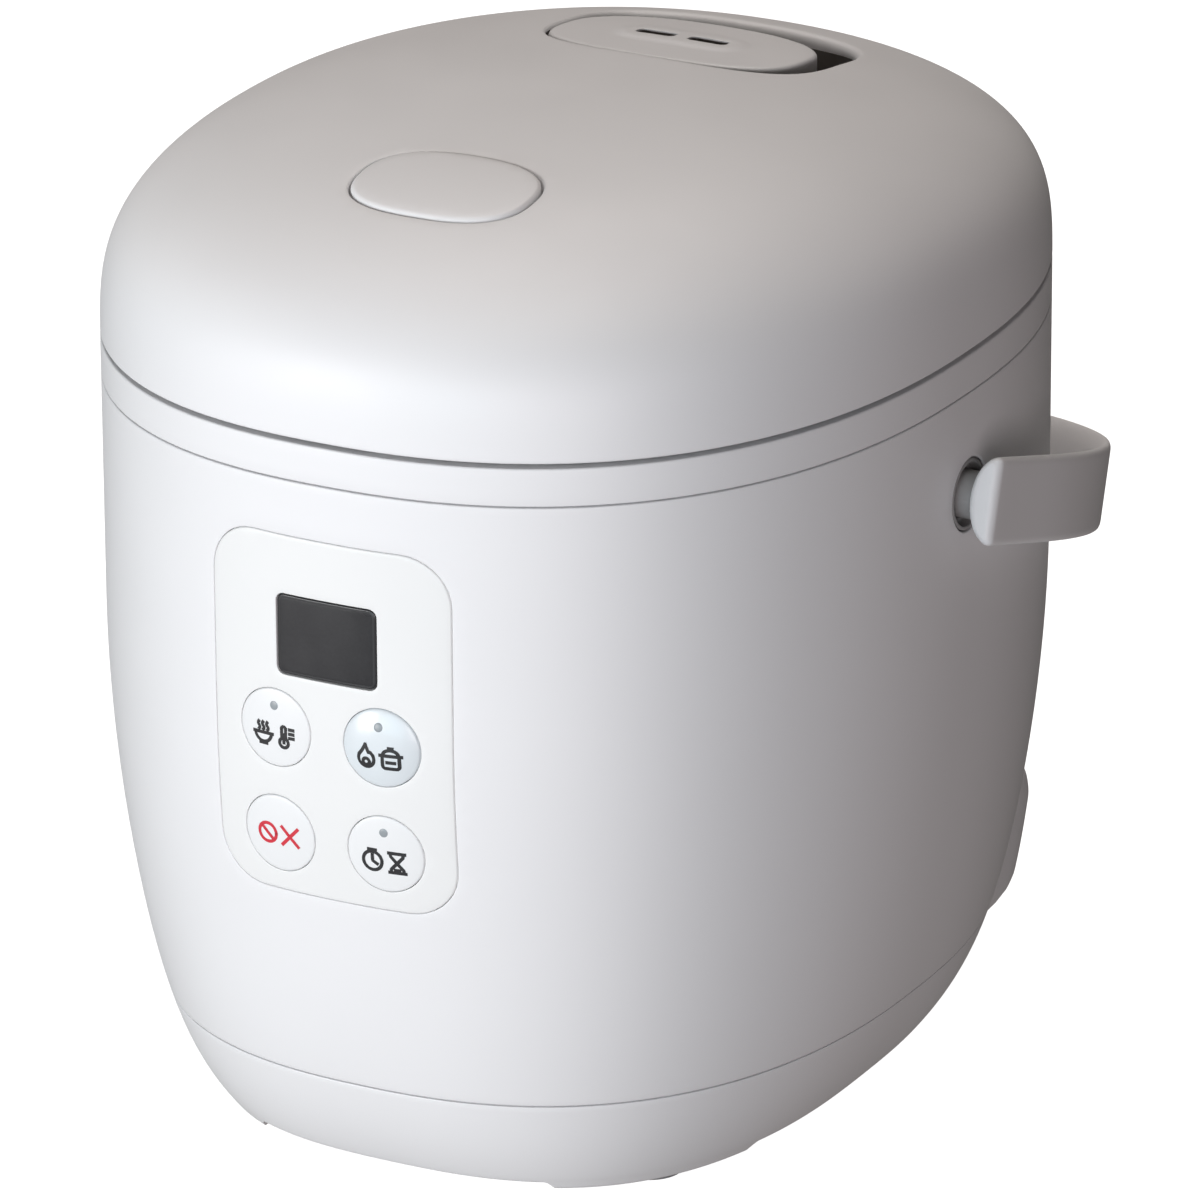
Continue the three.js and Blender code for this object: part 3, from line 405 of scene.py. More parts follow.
class Looks:
    """A procedural material: one Principled shader and what is wired into it."""

    def __init__(self, name, colour, roughness, **inputs):
        self.material = bpy.data.materials.new(name)
        self.material.use_nodes = True
        self.material.diffuse_color = (*colour, 1)
        self.tree = self.material.node_tree
        self.shader = self.tree.nodes["Principled BSDF"]
        self.colour = colour
        self.shader.inputs["Base Color"].default_value = (*colour, 1)
        self.shader.inputs["Roughness"].default_value = roughness
        for key, value in inputs.items():
            self.shader.inputs[key.replace("_", " ")].default_value = value
        self.coordinates = self.tree.nodes.new("ShaderNodeTexCoord").outputs["Object"]

    def node(self, kind, **inputs):
        """A new node with these values, where _ in a name stands for a space."""
        made = self.tree.nodes.new(f"ShaderNode{kind}")
        for key, value in inputs.items():
            made.inputs[key.replace("_", " ")].default_value = value
        return made

    def noise(self, scale, detail=2.0, stretch=None):
        texture = self.node("TexNoise", Scale=scale, Detail=detail)
        source = self.coordinates
        if stretch:
            mapping = self.node("Mapping", Scale=stretch)
            self.tree.links.new(source, mapping.inputs["Vector"])
            source = mapping.outputs["Vector"]
        self.tree.links.new(source, texture.inputs["Vector"])
        return texture.outputs["Fac"]

    def vary(self, factor, low, high, socket="Roughness"):
        spread = self.node("MapRange", From_Min=0.3, From_Max=0.7, To_Min=low, To_Max=high)
        self.tree.links.new(factor, spread.inputs["Value"])
        self.tree.links.new(spread.outputs["Result"], self.shader.inputs[socket])

    def tint(self, factor, dark):
        """Lets the colour wander between itself and a darker share of itself."""
        mix = self.tree.nodes.new("ShaderNodeMix")
        mix.data_type = "RGBA"
        mix.inputs["A"].default_value = (*self.colour, 1)
        mix.inputs["B"].default_value = (*[channel * dark for channel in self.colour], 1)
        self.tree.links.new(factor, mix.inputs["Factor"])
        self.tree.links.new(mix.outputs["Result"], self.shader.inputs["Base Color"])

    def bump(self, height, strength, distance):
        node = self.node("Bump", Strength=strength, Distance=distance)
        self.tree.links.new(height, node.inputs["Height"])
        self.tree.links.new(node.outputs["Normal"], self.shader.inputs["Normal"])


def moulded(name, colour, roughness, grain=0.12, **inputs):
    """Plastic with a fine sparked grain and slightly uneven gloss."""
    looks = Looks(name, colour, roughness, **inputs)
    looks.vary(looks.noise(40), roughness - 0.04, roughness + 0.05)
    looks.tint(looks.noise(22, 3), 0.975)
    looks.bump(looks.noise(2600, 2), grain, 0.00006)
    return looks.material


def brushed(name, colour, roughness):
    """Metal with a fine drawn grain."""
    looks = Looks(name, colour, roughness, Metallic=1.0)
    grain = looks.noise(900, 2, (1, 1, 14))
    looks.vary(grain, roughness - 0.07, roughness + 0.1)
    looks.tint(looks.noise(60, 2), 0.9)
    looks.bump(grain, 0.1, 0.00003)
    return looks.material


def speckled(name, colour, roughness):
    """Dark non-stick coating with a fine speckle."""
    looks = Looks(name, colour, roughness, Metallic=0.35)
    looks.tint(looks.noise(1800, 1), 0.55)
    looks.vary(looks.noise(300), roughness - 0.05, roughness + 0.08)
    looks.bump(looks.noise(1200), 0.12, 0.00004)
    return looks.material


def smoked(name, colour):
    """A dark display window with a fine cell pattern behind it."""
    looks = Looks(name, colour, 0.3, Coat_Weight=0.3, Coat_Roughness=0.12)
    looks.tint(looks.noise(1400, 3), 0.62)
    looks.vary(looks.noise(60), 0.24, 0.38)
    looks.bump(looks.noise(1600, 1), 0.1, 0.00003)
    return looks.material


def soft(name, colour, roughness):
    """Silicone or rubber."""
    looks = Looks(name, colour, roughness, Subsurface_Weight=0.08, Subsurface_Scale=0.002)
    looks.tint(looks.noise(90, 3), 0.92)
    looks.vary(looks.noise(200), roughness - 0.06, roughness + 0.06)
    looks.bump(looks.noise(1500), 0.15, 0.00005)
    return looks.material


WHITE = (0.80, 0.80, 0.81)
PAINTS = {
    "shell": moulded("shell_white", WHITE, 0.5),
    "inner": moulded("inner_white", (0.70, 0.70, 0.70), 0.45, grain=0.06),
    "panel": moulded("panel_white", (0.81, 0.815, 0.81), 0.36, grain=0.05),
    "key": moulded("key_white", (0.81, 0.82, 0.825), 0.34, grain=0.04),
    "cook": moulded("key_blue_grey", (0.72, 0.77, 0.80), 0.3, grain=0.04, Coat_Weight=0.2),
    "window": moulded("light_window", (0.30, 0.33, 0.35), 0.3, grain=0.02),
    "display": smoked("display_grey", (0.028, 0.028, 0.031)),
    "ink": moulded("ink_black", (0.022, 0.022, 0.024), 0.5, grain=0.02),
    "ink_red": moulded("ink_red", (0.62, 0.03, 0.05), 0.5, grain=0.02),
    # painted shade: a grey-brown that stands in for the shade down the steam well's gap and inside the vent slots
    "seat": moulded("seat_grey_brown", (0.17, 0.155, 0.145), 0.6, grain=0.1),
    # painted shade: a mid grey on the handle's pivot stubs and collars, standing in for the shade in the pivot
    # recess
    "pivot": moulded("pivot_grey", (0.3, 0.3, 0.3), 0.5, grain=0.1),
    "dark": moulded("dark_plastic", (0.028, 0.028, 0.03), 0.5, grain=0.1),
    "board": moulded("board_green", (0.03, 0.11, 0.05), 0.45, grain=0.05),
    "pot": speckled("pot_coating", (0.11, 0.11, 0.115), 0.38),
    "aluminium": brushed("bare_aluminium", (0.58, 0.59, 0.6), 0.42),
    "steel": brushed("steel", (0.6, 0.605, 0.61), 0.3),
    "silicone": soft("seal_silicone", (0.56, 0.58, 0.58), 0.5),
    "rubber": soft("foot_rubber", (0.2, 0.2, 0.205), 0.75),
}
SLOT_PAINT = {
    "shell_white": "shell", "inner_white": "inner", "panel_white": "panel",
    "display_grey": "display", "cook_button": "cook", "led_window": "window",
    "dark_plastic": "dark", "board_green": "board", "pot_coating": "pot",
    "bare_aluminium": "aluminium", "steel": "steel", "seal_silicone": "silicone",
    "foot_rubber": "rubber",
}


def paint_cad_nodes():
    """Gives every CAD node the procedural material of its slot."""
    for part in frame["record"]["subparts"]:
        node = frame["nodes"][part["node"]]
        node.data.materials.clear()
        node.data.materials.append(PAINTS[SLOT_PAINT[part["material_slot"]]])


# ------------------------------------------------------------------ body pieces

def notch_turn(z):
    """Plan angle of the hinge notch's right edge."""
    return float(turn_at_x(NOTCH_HALF_WIDTH, z, rear=True))


def body_shell():
    scale = 80.0  # millimetres to a radian, so that the unrolled wall is about true
    low, high = BODY_LOW + FINE_EDGE, BODY_HIGH - FINE_EDGE
    notch_low = HINGE_Z - NOTCH_RADIUS - 0.6
    first, last = math.radians(-135), math.radians(225)
    right = notch_turn(high)
    left = math.pi - right
    bottom = np.linspace(first, last, AROUND)
    top = np.concatenate([np.linspace(last, left, 100), np.linspace(right, first, 190)])
    side = np.linspace(low, high, 60)[1:-1]
    notch_side = np.linspace(high, notch_low, 6)[1:]
    notch_bottom = np.linspace(left, right, 40)
    outline = np.concatenate([
        level(bottom, low), np.column_stack([np.full(58, last), side]),
        level(top[:100], high),
        np.column_stack([np.full(5, left), notch_side]), level(notch_bottom[1:-1], notch_low),
        np.column_stack([np.full(5, right), notch_side[::-1]]), level(top[100:], high),
        np.column_stack([np.full(58, first), side[::-1]])])

    def pivot_edge(side_sign, out, down):
        flat = circle(PIVOT_HOLE + out, (0, PIVOT_Z))
        x = side_sign * (side_x(flat[:, 0], flat[:, 1]) - down)
        return np.column_stack([x, flat[:, 0], flat[:, 1]])

    groove = 0.3
    flat_panel = rectangle(**PANEL, grow=PANEL_GAP + groove)
    flat_pivot = circle(PIVOT_HOLE + PIVOT_LIP, (0, PIVOT_Z))
    holes = [
        np.column_stack([turn_at_x(flat_panel[:, 0], flat_panel[:, 1]), flat_panel[:, 1]]),
        np.column_stack([turn_at_y(flat_pivot[:, 0], flat_pivot[:, 1]), flat_pivot[:, 1]]),
        np.column_stack([turn_at_y(flat_pivot[:, 0], flat_pivot[:, 1], True), flat_pivot[:, 1]])]
    unroll = np.array([scale, 1])
    skin = Skin()
    skin.patch(
        outline * unroll, [hole * unroll for hole in holes], 2.6,
        lambda u, z: body_points(u / scale, z))
    skin.strip([
        on_front(rectangle(**PANEL, grow=PANEL_GAP + out), -down)
        for out, down in rounded_edge(groove, 2.4)])
    for side_sign in (1, -1):
        skin.strip([pivot_edge(side_sign, *pair) for pair in rounded_edge(PIVOT_LIP, 3)])
    for turns, edge_z, sign in ((bottom, BODY_LOW, 1), (top[:100], BODY_HIGH, -1),
                                (top[100:], BODY_HIGH, -1)):
        skin.strip([
            body_points(turns, edge_z + sign * (out if down < WALL else 0), min(down, WALL))
            for out, down in rounded_edge(FINE_EDGE, WALL)], closed=False)
    notch_edge = outline[AROUND + 58 + 99:AROUND + 58 + 100 + 5 + 38 + 5 + 1]
    skin.strip([
        body_points(notch_edge[:, 0], notch_edge[:, 1], drawn) for drawn in (0, WALL)],
        closed=False)
    piece(skin, "shell_of_body", "body", "shell_white", ["body_shell"])


def upper_frame():
    """The band under the lid, and the deck that shows when the lid is open."""
    skin = Skin()
    right = notch_turn(DECK)
    turns = np.linspace(right, math.pi - right - 2 * math.pi, AROUND)
    radius = 0.45
    rows = [(FRAME_LOW, WALL), (FRAME_LOW, FINE_EDGE)]
    rows += [(FRAME_LOW + down, out) for out, down in quarter(FINE_EDGE, 4)[1:]]
    rows += [(FRAME_LOW + 2.5, 0), (DECK - 2.5, 0)]
    rows += [(DECK - out, down) for out, down in quarter(radius, 6)]
    skin.strip([body_points(turns, z, drawn) for z, drawn in rows], closed=False)
    rim = body_points(turns, DECK, radius)[:, :2]
    rear = HINGE_Y - NOTCH_RADIUS
    notch = np.array([
        (-NOTCH_HALF_WIDTH, rear), (-10, rear), (10, rear), (NOTCH_HALF_WIDTH, rear)])
    well = circle(DECK_WELL + 0.5, (0, POT_Y), 160)
    latch = rectangle(12.4, 9.2, 1.0, (0, -95.8), sides=4, arcs=5)
    skin.floor(np.concatenate([rim, notch]), [well, latch], 3.0, DECK)
    skin.strip([level(latch, z) for z in (DECK, DECK - 5)])
    well_profile = [
        (DECK_WELL + 0.5, DECK), (DECK_WELL + 0.15, DECK - 0.15), (DECK_WELL, DECK - 0.5),
        (DECK_WELL, 158.6), (DECK_WELL - 0.4, 158.2), (POT_LEDGE + 0.4, 158.2),
        (POT_LEDGE, 157.8), (POT_LEDGE, 156.8)]
    skin.strip(turned(well_profile))
    for sign in (-1, 1):
        reach = float(front_y(NOTCH_HALF_WIDTH, DECK)) * -1
        wall = np.array([
            (sign * NOTCH_HALF_WIDTH, rear, DECK), (sign * NOTCH_HALF_WIDTH, reach, DECK),
            (sign * NOTCH_HALF_WIDTH, reach, FRAME_LOW), (sign * NOTCH_HALF_WIDTH, rear, 147)])
        skin.add(wall, [(0, 1, 2, 3)])
    piece(skin, "band_and_deck", "body", "shell_white", ["upper_frame"])


def hinge_pocket():
    """The trough that the lid's knuckles turn in, and the frame's own barrels."""
    skin = Skin()
    rings = []
    for degrees in np.linspace(125, 285, 30):
        turn = math.radians(degrees)
        y = HINGE_Y + NOTCH_RADIUS * math.cos(turn)
        z = min(HINGE_Z + NOTCH_RADIUS * math.sin(turn), DECK)
        rings.append(np.array([(x, y, z) for x in (-NOTCH_HALF_WIDTH, 0, NOTCH_HALF_WIDTH)]))
    rings.append(rings[-1] + (0, 1.2, -1.4))
    skin.strip(rings, closed=False)
    piece(skin, "hinge_trough", "body", "shell_white", ["upper_frame"])
    barrels((-26, -18), (-8, 8), (18, 26), name="frame_barrels", body="body",
            stands_for="upper_frame", arm=((HINGE_Y - 11, HINGE_Y), (HINGE_Z - 4, HINGE_Z + 1)))


def barrels(*spans, name, body, stands_for, arm):
    """Hinge barrels with softened ends, each on an arm."""
    skin = Skin()
    for low, high in spans:
        profile = softened([
            (1.9, low), (HINGE_BARREL, low), (HINGE_BARREL, high), (1.9, high)], 0.6)
        skin.strip(turned_x(profile, HINGE_Y, HINGE_Z))
        (y0, y1), (z0, z1) = arm
        section = rectangle(y1 - y0, z1 - z0, 0.5, ((y0 + y1) / 2, (z0 + z1) / 2), sides=3, arcs=4)
        ends = [
            np.column_stack([np.full(len(section), x), section])
            for x in (low + 0.2, high - 0.2)]
        skin.strip(ends)
        skin.cap(ends[0])
        skin.cap(ends[1])
    slot = "shell_white" if body == "body" else "inner_white"
    piece(skin, name, body, slot, [stands_for])


def base_tray():
    skin = Skin()
    turns = np.linspace(0, 2 * math.pi, AROUND + 1)[:-1]
    rows = [(BASE_HIGH, WALL)]
    rows += [(BASE_HIGH - out, down) for out, down in quarter(FINE_EDGE, 4)[::-1]]
    low = FLOOR_LIFT + 0.6
    rows += [(z, 0) for z in np.linspace(BASE_HIGH - 1.5, low, 16)]
    for turn in np.linspace(0, math.pi / 2, 5)[1:]:
        rows.append((low - 0.6 * math.sin(turn), 0.6 * (1 - math.cos(turn))))
    skin.strip([body_points(turns, z, drawn) for z, drawn in rows])
    outline = body_points(turns, FLOOR_LIFT, 0.6)[:, :2]
    slots = [rectangle(3, 60, 1.4, (8 * i, 0), sides=6, arcs=6) for i in (-1, 0, 1)]
    sink = circle(4.0, (30, 60), 32)
    skin.floor(outline, [*slots, sink], 4.0, FLOOR_LIFT)
    for loop, deep in [*((slot, 5.0) for slot in slots), (sink, 5.2)]:
        walls = [level(loop, z) for z in (FLOOR_LIFT, deep)]
        skin.strip(walls)
        skin.cap(walls[-1])
    for x_sign in (-1, 1):
        for y_edge in (FOOT_FRONT, FOOT_REAR):
            foot(skin, x_sign, y_edge)
    piece(skin, "base_tray", "body", "shell_white", ["base"])


def foot(skin, x_sign, y_edge):
    """One corner foot: the body's form carried on down, stepped off from the raised floor."""
    y_sign = math.copysign(1, y_edge)

    def ring(z, shrink, grow_in):
        width, depth, power = plan_at(z, shrink)
        x_in, y_in = FOOT_X - grow_in + shrink, abs(y_edge) - grow_in + shrink
        low = math.asin((y_in / depth) ** (power / 2))
        high = math.acos((x_in / width) ** (power / 2))
        turn = np.linspace(low, high, 40)
        arc = np.column_stack([
            width * np.cos(turn) ** (2 / power), depth * np.sin(turn) ** (2 / power)])
        down = np.linspace(arc[-1], (x_in, y_in), 14)[1:]
        back = np.linspace((x_in, y_in), arc[0], 14)[1:-1]
        return level(np.concatenate([arc, down, back]) * (x_sign, y_sign), z)

    rows = [(FLOOR_LIFT + 0.7, 0.0, 1.6), (FLOOR_LIFT - 0.1, 0.0, 0.5), (1.6, 0.0, 0.1)]
    for turn in np.linspace(0, math.pi / 2, 5):
        rows.append((1.2 - 0.6 * math.sin(turn), 0.6 * (1 - math.cos(turn)), 0.0))
    rings = [ring(*row) for row in rows]
    skin.strip(rings)
    skin.cap(rings[-1])


def foot_pads():
    for i in range(1, 5):
        low, high = box_mm(f"foot_pad_{i}")
        middle = (low + high) / 2
        skin = Skin()
        profile = softened([(0.01, 0.3), (4.2, 0.3), (4.6, 0), (7, 0), (7, 2.2)], 0.5)
        skin.strip(turned(profile, middle[1], middle[0], 64))
        piece(skin, f"pad_{i}", "body", "foot_rubber", [f"foot_pad_{i}"])


# ------------------------------------------------------------------ control panel

def on_front(flat, rise=0.0):
    """Places flat (x, z) points on the body's front, standing out by rise."""
    x, z = flat[:, 0], flat[:, 1]
    return np.column_stack([x, front_y(x, z) - rise, z])


def display_outline(grow):
    return rectangle(**DISPLAY, grow=grow, sides=12, arcs=6)


def control_panel():
    edge, fine = 0.3, 0.2
    outline = rectangle(**PANEL, grow=PANEL_REACH - edge)
    holes = [display_outline(DISPLAY_GAP + fine)]
    holes += [
        circle(BUTTON_RADIUS + BUTTON_GAP + fine, (b["x"], b["z"]), 72) for b in BUTTONS.values()]
    skin = Skin()
    skin.patch(outline, holes, 1.6, lambda x, z: on_front(np.column_stack([x, z])))
    skin.strip([
        on_front(rectangle(**PANEL, grow=PANEL_REACH - out), -down)
        for out, down in rounded_edge(edge, 2)])
    skin.strip([
        on_front(display_outline(DISPLAY_GAP + out), -down)
        for out, down in rounded_edge(fine, 2)])
    for button in BUTTONS.values():
        centre = (button["x"], button["z"])
        skin.strip([
            on_front(circle(BUTTON_RADIUS + BUTTON_GAP + out, centre, 72), -down)
            for out, down in rounded_edge(fine, 2)])
    piece(skin, "panel_face", "body", "panel_white", ["front_panel"])


def display():
    edge, border, sunk = 0.25, 0.7, 0.15

    def lens(x, z, lift=0.0):
        return np.column_stack([x, front_y(x, z) + sunk - lift, z])

    skin = Skin()
    skin.patch(display_outline(-edge), (), 1.5, lens)
    skin.strip([
        on_front(display_outline(-out), -down - sunk) for out, down in rounded_edge(edge, 1.4)])
    piece(skin, "display_window", "body", "display_grey", ["display_lens"])
    rim = Skin()
    rim.strip([
        lens(*display_outline(-grow).T, lift)
        for grow, lift in ((edge, 0.0), (edge + 0.05, 0.04), (border - 0.05, 0.04), (border, 0.0))])
    piece(rim, "display_border", "body", "dark_plastic", paint="ink")


def button_rise(button, x, z):
    """How far a button's face stands out of the panel's surface."""
    away = np.hypot(x - button["x"], z - button["z"]) / BUTTON_RADIUS
    return 0.05 + button["dome"] * np.clip(1 - away ** 2.6, 0, 1)


def button_face(button, flat, lift=0.0):
    x, z = flat[:, 0], flat[:, 1]
    return np.column_stack([x, front_y(x, z) - button_rise(button, x, z) - lift, z])


def control_buttons():
    for name, button in BUTTONS.items():
        centre = (button["x"], button["z"])
        edge = 0.3
        skin = Skin()
        radii = np.linspace(0.02, BUTTON_RADIUS - edge, 16)
        rings = [button_face(button, circle(radius, centre, 72)) for radius in radii]
        rings += [
            button_face(button, circle(BUTTON_RADIUS - out, centre, 72), -down)
            for out, down in rounded_edge(edge, 2.6)]
        skin.strip(rings)
        body = f"{name}_key"
        slot, paint = ("cook_button", "cook") if name == "cook" else ("panel_white", "key")
        piece(skin, f"key_{name}", body, slot, [f"button_{name}"], paint)
        if button["lit"]:
            light_window(name, button, body)
        icon(name, button, body)


def light_window(name, button, body):
    centre = (button["x"], button["z"] + LED_RISE)
    skin = Skin()
    profile = [(0.01, 0.12), (0.5, 0.11), (0.8, 0.07), (LED_RADIUS, -0.02), (LED_RADIUS, -0.3)]
    skin.strip([
        button_face(button, circle(radius, centre, 32), lift) for radius, lift in profile])
    piece(skin, f"light_{name}", body, "led_window", [f"led_window_{name}"])


def arc(x, y, radius, start, end, count=24, squash=1.0):
    turn = np.radians(np.linspace(start, end, count))
    return np.column_stack([x + radius * np.cos(turn), y + radius * squash * np.sin(turn)])


def lines(*points):
    return np.array(points, float)


def wave(x, low, high):
    t = np.linspace(0, 1, 12)
    return np.column_stack([x + 0.22 * np.sin(t * 2 * math.pi), low + (high - low) * t])


# Each icon is two small pictograms, drawn as strokes in a box 4.6 wide and 4.8 high.
BOWL = [lines((0.1, 2.5), (4.5, 2.5)), arc(2.3, 2.5, 1.9, 180, 360),
        lines((1.5, 0.3), (3.1, 0.3)), wave(1.3, 3.1, 4.7), wave(2.3, 3.1, 4.7),
        wave(3.3, 3.1, 4.7)]
THERMOMETER = [arc(1.9, 1.2, 1.0, 115, 425), lines((1.45, 2.1), (1.45, 4.2)),
               lines((2.35, 2.1), (2.35, 4.2)), arc(1.9, 4.2, 0.45, 0, 180, 10),
               lines((3.2, 2.4), (4.1, 2.4)), lines((3.2, 3.3), (4.1, 3.3)),
               lines((3.2, 4.2), (4.1, 4.2)), lines((1.9, 1.2), (1.9, 3.0))]
FLAME = [arc(2.3, 1.8, 1.7, 150, 390), lines((0.83, 2.65), (1.5, 3.5), (2.2, 4.8)),
         lines((3.77, 2.65), (3.2, 3.4), (2.9, 3.0), (2.2, 4.8)), arc(2.3, 1.2, 0.7, 0, 360)]
POT = [lines((0.6, 2.9), (0.6, 0.7), (1.0, 0.3), (3.6, 0.3), (4.0, 0.7), (4.0, 2.9)),
       lines((0.1, 3.0), (4.5, 3.0)), arc(2.3, 3.1, 1.6, 10, 170, squash=0.7),
       lines((1.9, 4.6), (2.7, 4.6)), lines((1.5, 1.6), (3.1, 1.6))]
NO_ENTRY = [arc(2.3, 2.4, 2.0, 0, 360, 40), lines((0.95, 3.75), (3.65, 1.05))]
CROSS = [lines((0.5, 0.5), (4.1, 4.3)), lines((0.5, 4.3), (4.1, 0.5))]
CLOCK = [arc(2.3, 2.3, 2.0, 0, 360, 40), lines((2.3, 3.6), (2.3, 2.3), (3.3, 1.7)),
         lines((1.5, 4.7), (3.1, 4.7))]
HOURGLASS = [lines((0.6, 4.5), (4.0, 4.5)), lines((0.6, 0.3), (4.0, 0.3)),
             lines((1.0, 4.5), (1.0, 3.8), (3.6, 1.0), (3.6, 0.3)),
             lines((3.6, 4.5), (3.6, 3.8), (1.0, 1.0), (1.0, 0.3)), lines((1.8, 0.9), (2.8, 0.9))]
STROKE = 0.72
ICONS = {
    "keep_warm": (BOWL, THERMOMETER, -1.5), "cook": (FLAME, POT, -1.5),
    "cancel": (NO_ENTRY, CROSS, -0.2), "timer": (CLOCK, HOURGLASS, -1.5),
}


def dense(path, step=0.25):
    """The same path with points close enough to follow a domed face."""
    lengths = np.concatenate([[0], np.cumsum(np.linalg.norm(np.diff(path, axis=0), axis=1))])
    places = np.linspace(0, lengths[-1], max(int(lengths[-1] / step), 2) + 1)
    return np.column_stack([np.interp(places, lengths, path[:, axis]) for axis in (0, 1)])


def ribbon(path, width):
    """A flat stroke of even width along a path, as left and right sides."""
    ahead = np.gradient(path, axis=0)
    ahead /= np.linalg.norm(ahead, axis=1)[:, None]
    across = np.column_stack([-ahead[:, 1], ahead[:, 0]]) * width / 2
    path = path.copy()
    path[0] -= ahead[0] * width * 0.4
    path[-1] += ahead[-1] * width * 0.4
    return path + across, path - across


def icon(name, button, body):
    left, right, low = ICONS[name]
    skin = Skin()
    for strokes, start in ((left, -4.9), (right, 0.3)):
        corner = np.array([button["x"] + start, button["z"] + low - 2.4])
        for stroke in strokes:
            sides = ribbon(dense(stroke) + corner, STROKE)
            skin.strip([button_face(button, side, 0.05) for side in sides], closed=False)
    ink = "ink_red" if name == "cancel" else "ink"
    piece(skin, f"icon_{name}", body, "dark_plastic", paint=ink)


# ------------------------------------------------------------------ lid

def well_lip():
    """Width of the rounded lip round the well, wide at the rear."""
    turn = np.linspace(0, 2 * math.pi, 160, endpoint=False)
    rear = (1 + np.sin(turn)) / 2
    return WELL_LIP_FRONT + (WELL_LIP_REAR - WELL_LIP_FRONT) * rear ** 2


def well_outline(share=0.0):
    """The well's outline, a share of the lip's width outside its wall."""
    out = share * well_lip()
    return oval(
        WELL["half_width"] + out, WELL["half_depth"] + out, WELL["power"], WELL["y"], WELL["x"])


def button_outline(out):
    return oval(
        LID_BUTTON["half_width"] + out, LID_BUTTON["half_depth"] + out, LID_BUTTON["power"],
        LID_BUTTON["y"])


def vent_outline(out):
    return oval(VENT["half_width"] + out, VENT["half_depth"] + out, VENT["power"], VENT["y"])


def on_dome(flat, down=0.0):
    return np.column_stack([flat, dome_z(flat[:, 0], flat[:, 1]) - down])


def lid_shell():
    skin = Skin()
    rise = LID_RIM - SEAM
    radius = 0.6
    rings = []
    for level, drawn in ((LID_RIM + 6, WALL), (LID_RIM + 0.3, WALL), (LID_RIM, WALL - 0.3)):
        ring = dome_ring(rise / DOME_RISE, drawn)
        ring[:, 2] = level
        rings.append(ring)
    for out, down in quarter(radius, 6)[::-1]:
        ring = dome_ring(rise / DOME_RISE, down)
        ring[:, 2] = LID_RIM + out
        rings.append(ring)
    start = (LID_RIM + radius - SEAM) / DOME_RISE
    top = 0.78
    rings += [dome_ring(start + (top - start) * k / 40) for k in range(1, 41)]
    skin.strip(rings)
    edge = 0.55
    holes = [well_outline(1), button_outline(LID_BUTTON_GAP + edge)]
    skin.patch(rings[-1][:, :2], holes, 2.0, lambda x, y: on_dome(np.column_stack([x, y])))
    skin.strip([
        on_dome(well_outline(share), down * well_lip())
        for share, down in rounded_edge(1, 1, 8)[:-1]])
    skin.strip([
        on_dome(button_outline(LID_BUTTON_GAP + out), down)
        for out, down in rounded_edge(edge, 5.0)])
    piece(skin, "dome_of_lid", "lid", "shell_white", ["lid_shell"])


def well_shade_lining():
    """Painted shade: a dark grey-brown lining down the well's walls and over its floor round the steam cap,
    standing in for the shade in the gap.
    """
    skin = Skin()
    outline = well_outline()
    skin.strip([
        on_dome(outline, well_lip()), on_dome(outline, 4.5), level(outline, WELL_FLOOR)])
    skin.floor(outline, [circle(6.0, (0, VENT["y"]), 48)], 3.0, WELL_FLOOR)
    piece(skin, "vent_seat", "lid", "dark_plastic", ["lid_shell"], paint="seat")


def lid_button():
    edge, proud = 0.9, 0.45
    skin = Skin()

    def top(x, y):
        power = LID_BUTTON["power"]
        away = (np.abs(x) / LID_BUTTON["half_width"]) ** power
        away += (np.abs(y - LID_BUTTON["y"]) / LID_BUTTON["half_depth"]) ** power
        return np.column_stack([x, y, dome_z(x, y) + proud + 0.15 * (1 - np.minimum(away, 1))])

    skin.patch(button_outline(-edge), (), 1.8, top)
    skin.strip(walled(top, lambda out: button_outline(-out), rounded_edge(edge, 6.0)))
    piece(skin, "release_button", "lid_release", "shell_white", ["lid_button"])


def slot_outline(side, out=0.0):
    return rectangle(8.6, 3.4, 1.2, (side * 5.9, VENT["y"]), grow=out, sides=6, arcs=6)


def steam_cap():
    def top(x, y):
        away = np.hypot(np.maximum(np.abs(x) - 8.5, 0), y - VENT["y"])
        raised = 0.35 / (1 + np.exp((away - 5.5) * 5))
        return np.column_stack([x, y, dome_z(x, y) - VENT_DROP + raised])

    edge, slot_edge, skirt_low = 0.9, 0.25, 191.8
    skin = Skin()
    holes = [slot_outline(side, slot_edge) for side in (-1, 1)]
    skin.patch(vent_outline(-edge), holes, 1.2, top)
    skin.strip([
        *walled(top, lambda out: vent_outline(-out), rounded_edge(edge, 2.0)),
        *(level(vent_outline(out), skirt_low) for out in (0, -1.6))])
    throat = Skin()
    for side in (-1, 1):
        rows = walled(
            top, lambda out: slot_outline(side, out), [*rounded_edge(slot_edge, 0.4), (0, 2.2)])
        skin.strip(rows[:-1])
        throat.strip(rows[-2:])
        throat.cap(rows[-1])
    piece(skin, "steam_plate", "steam_vent", "shell_white", ["steam_cap"])
    # painted shade: the slots' capped throats take the grey-brown that stands in for the shade inside the slots
    piece(throat, "steam_throats", "steam_vent", "dark_plastic", paint="seat")


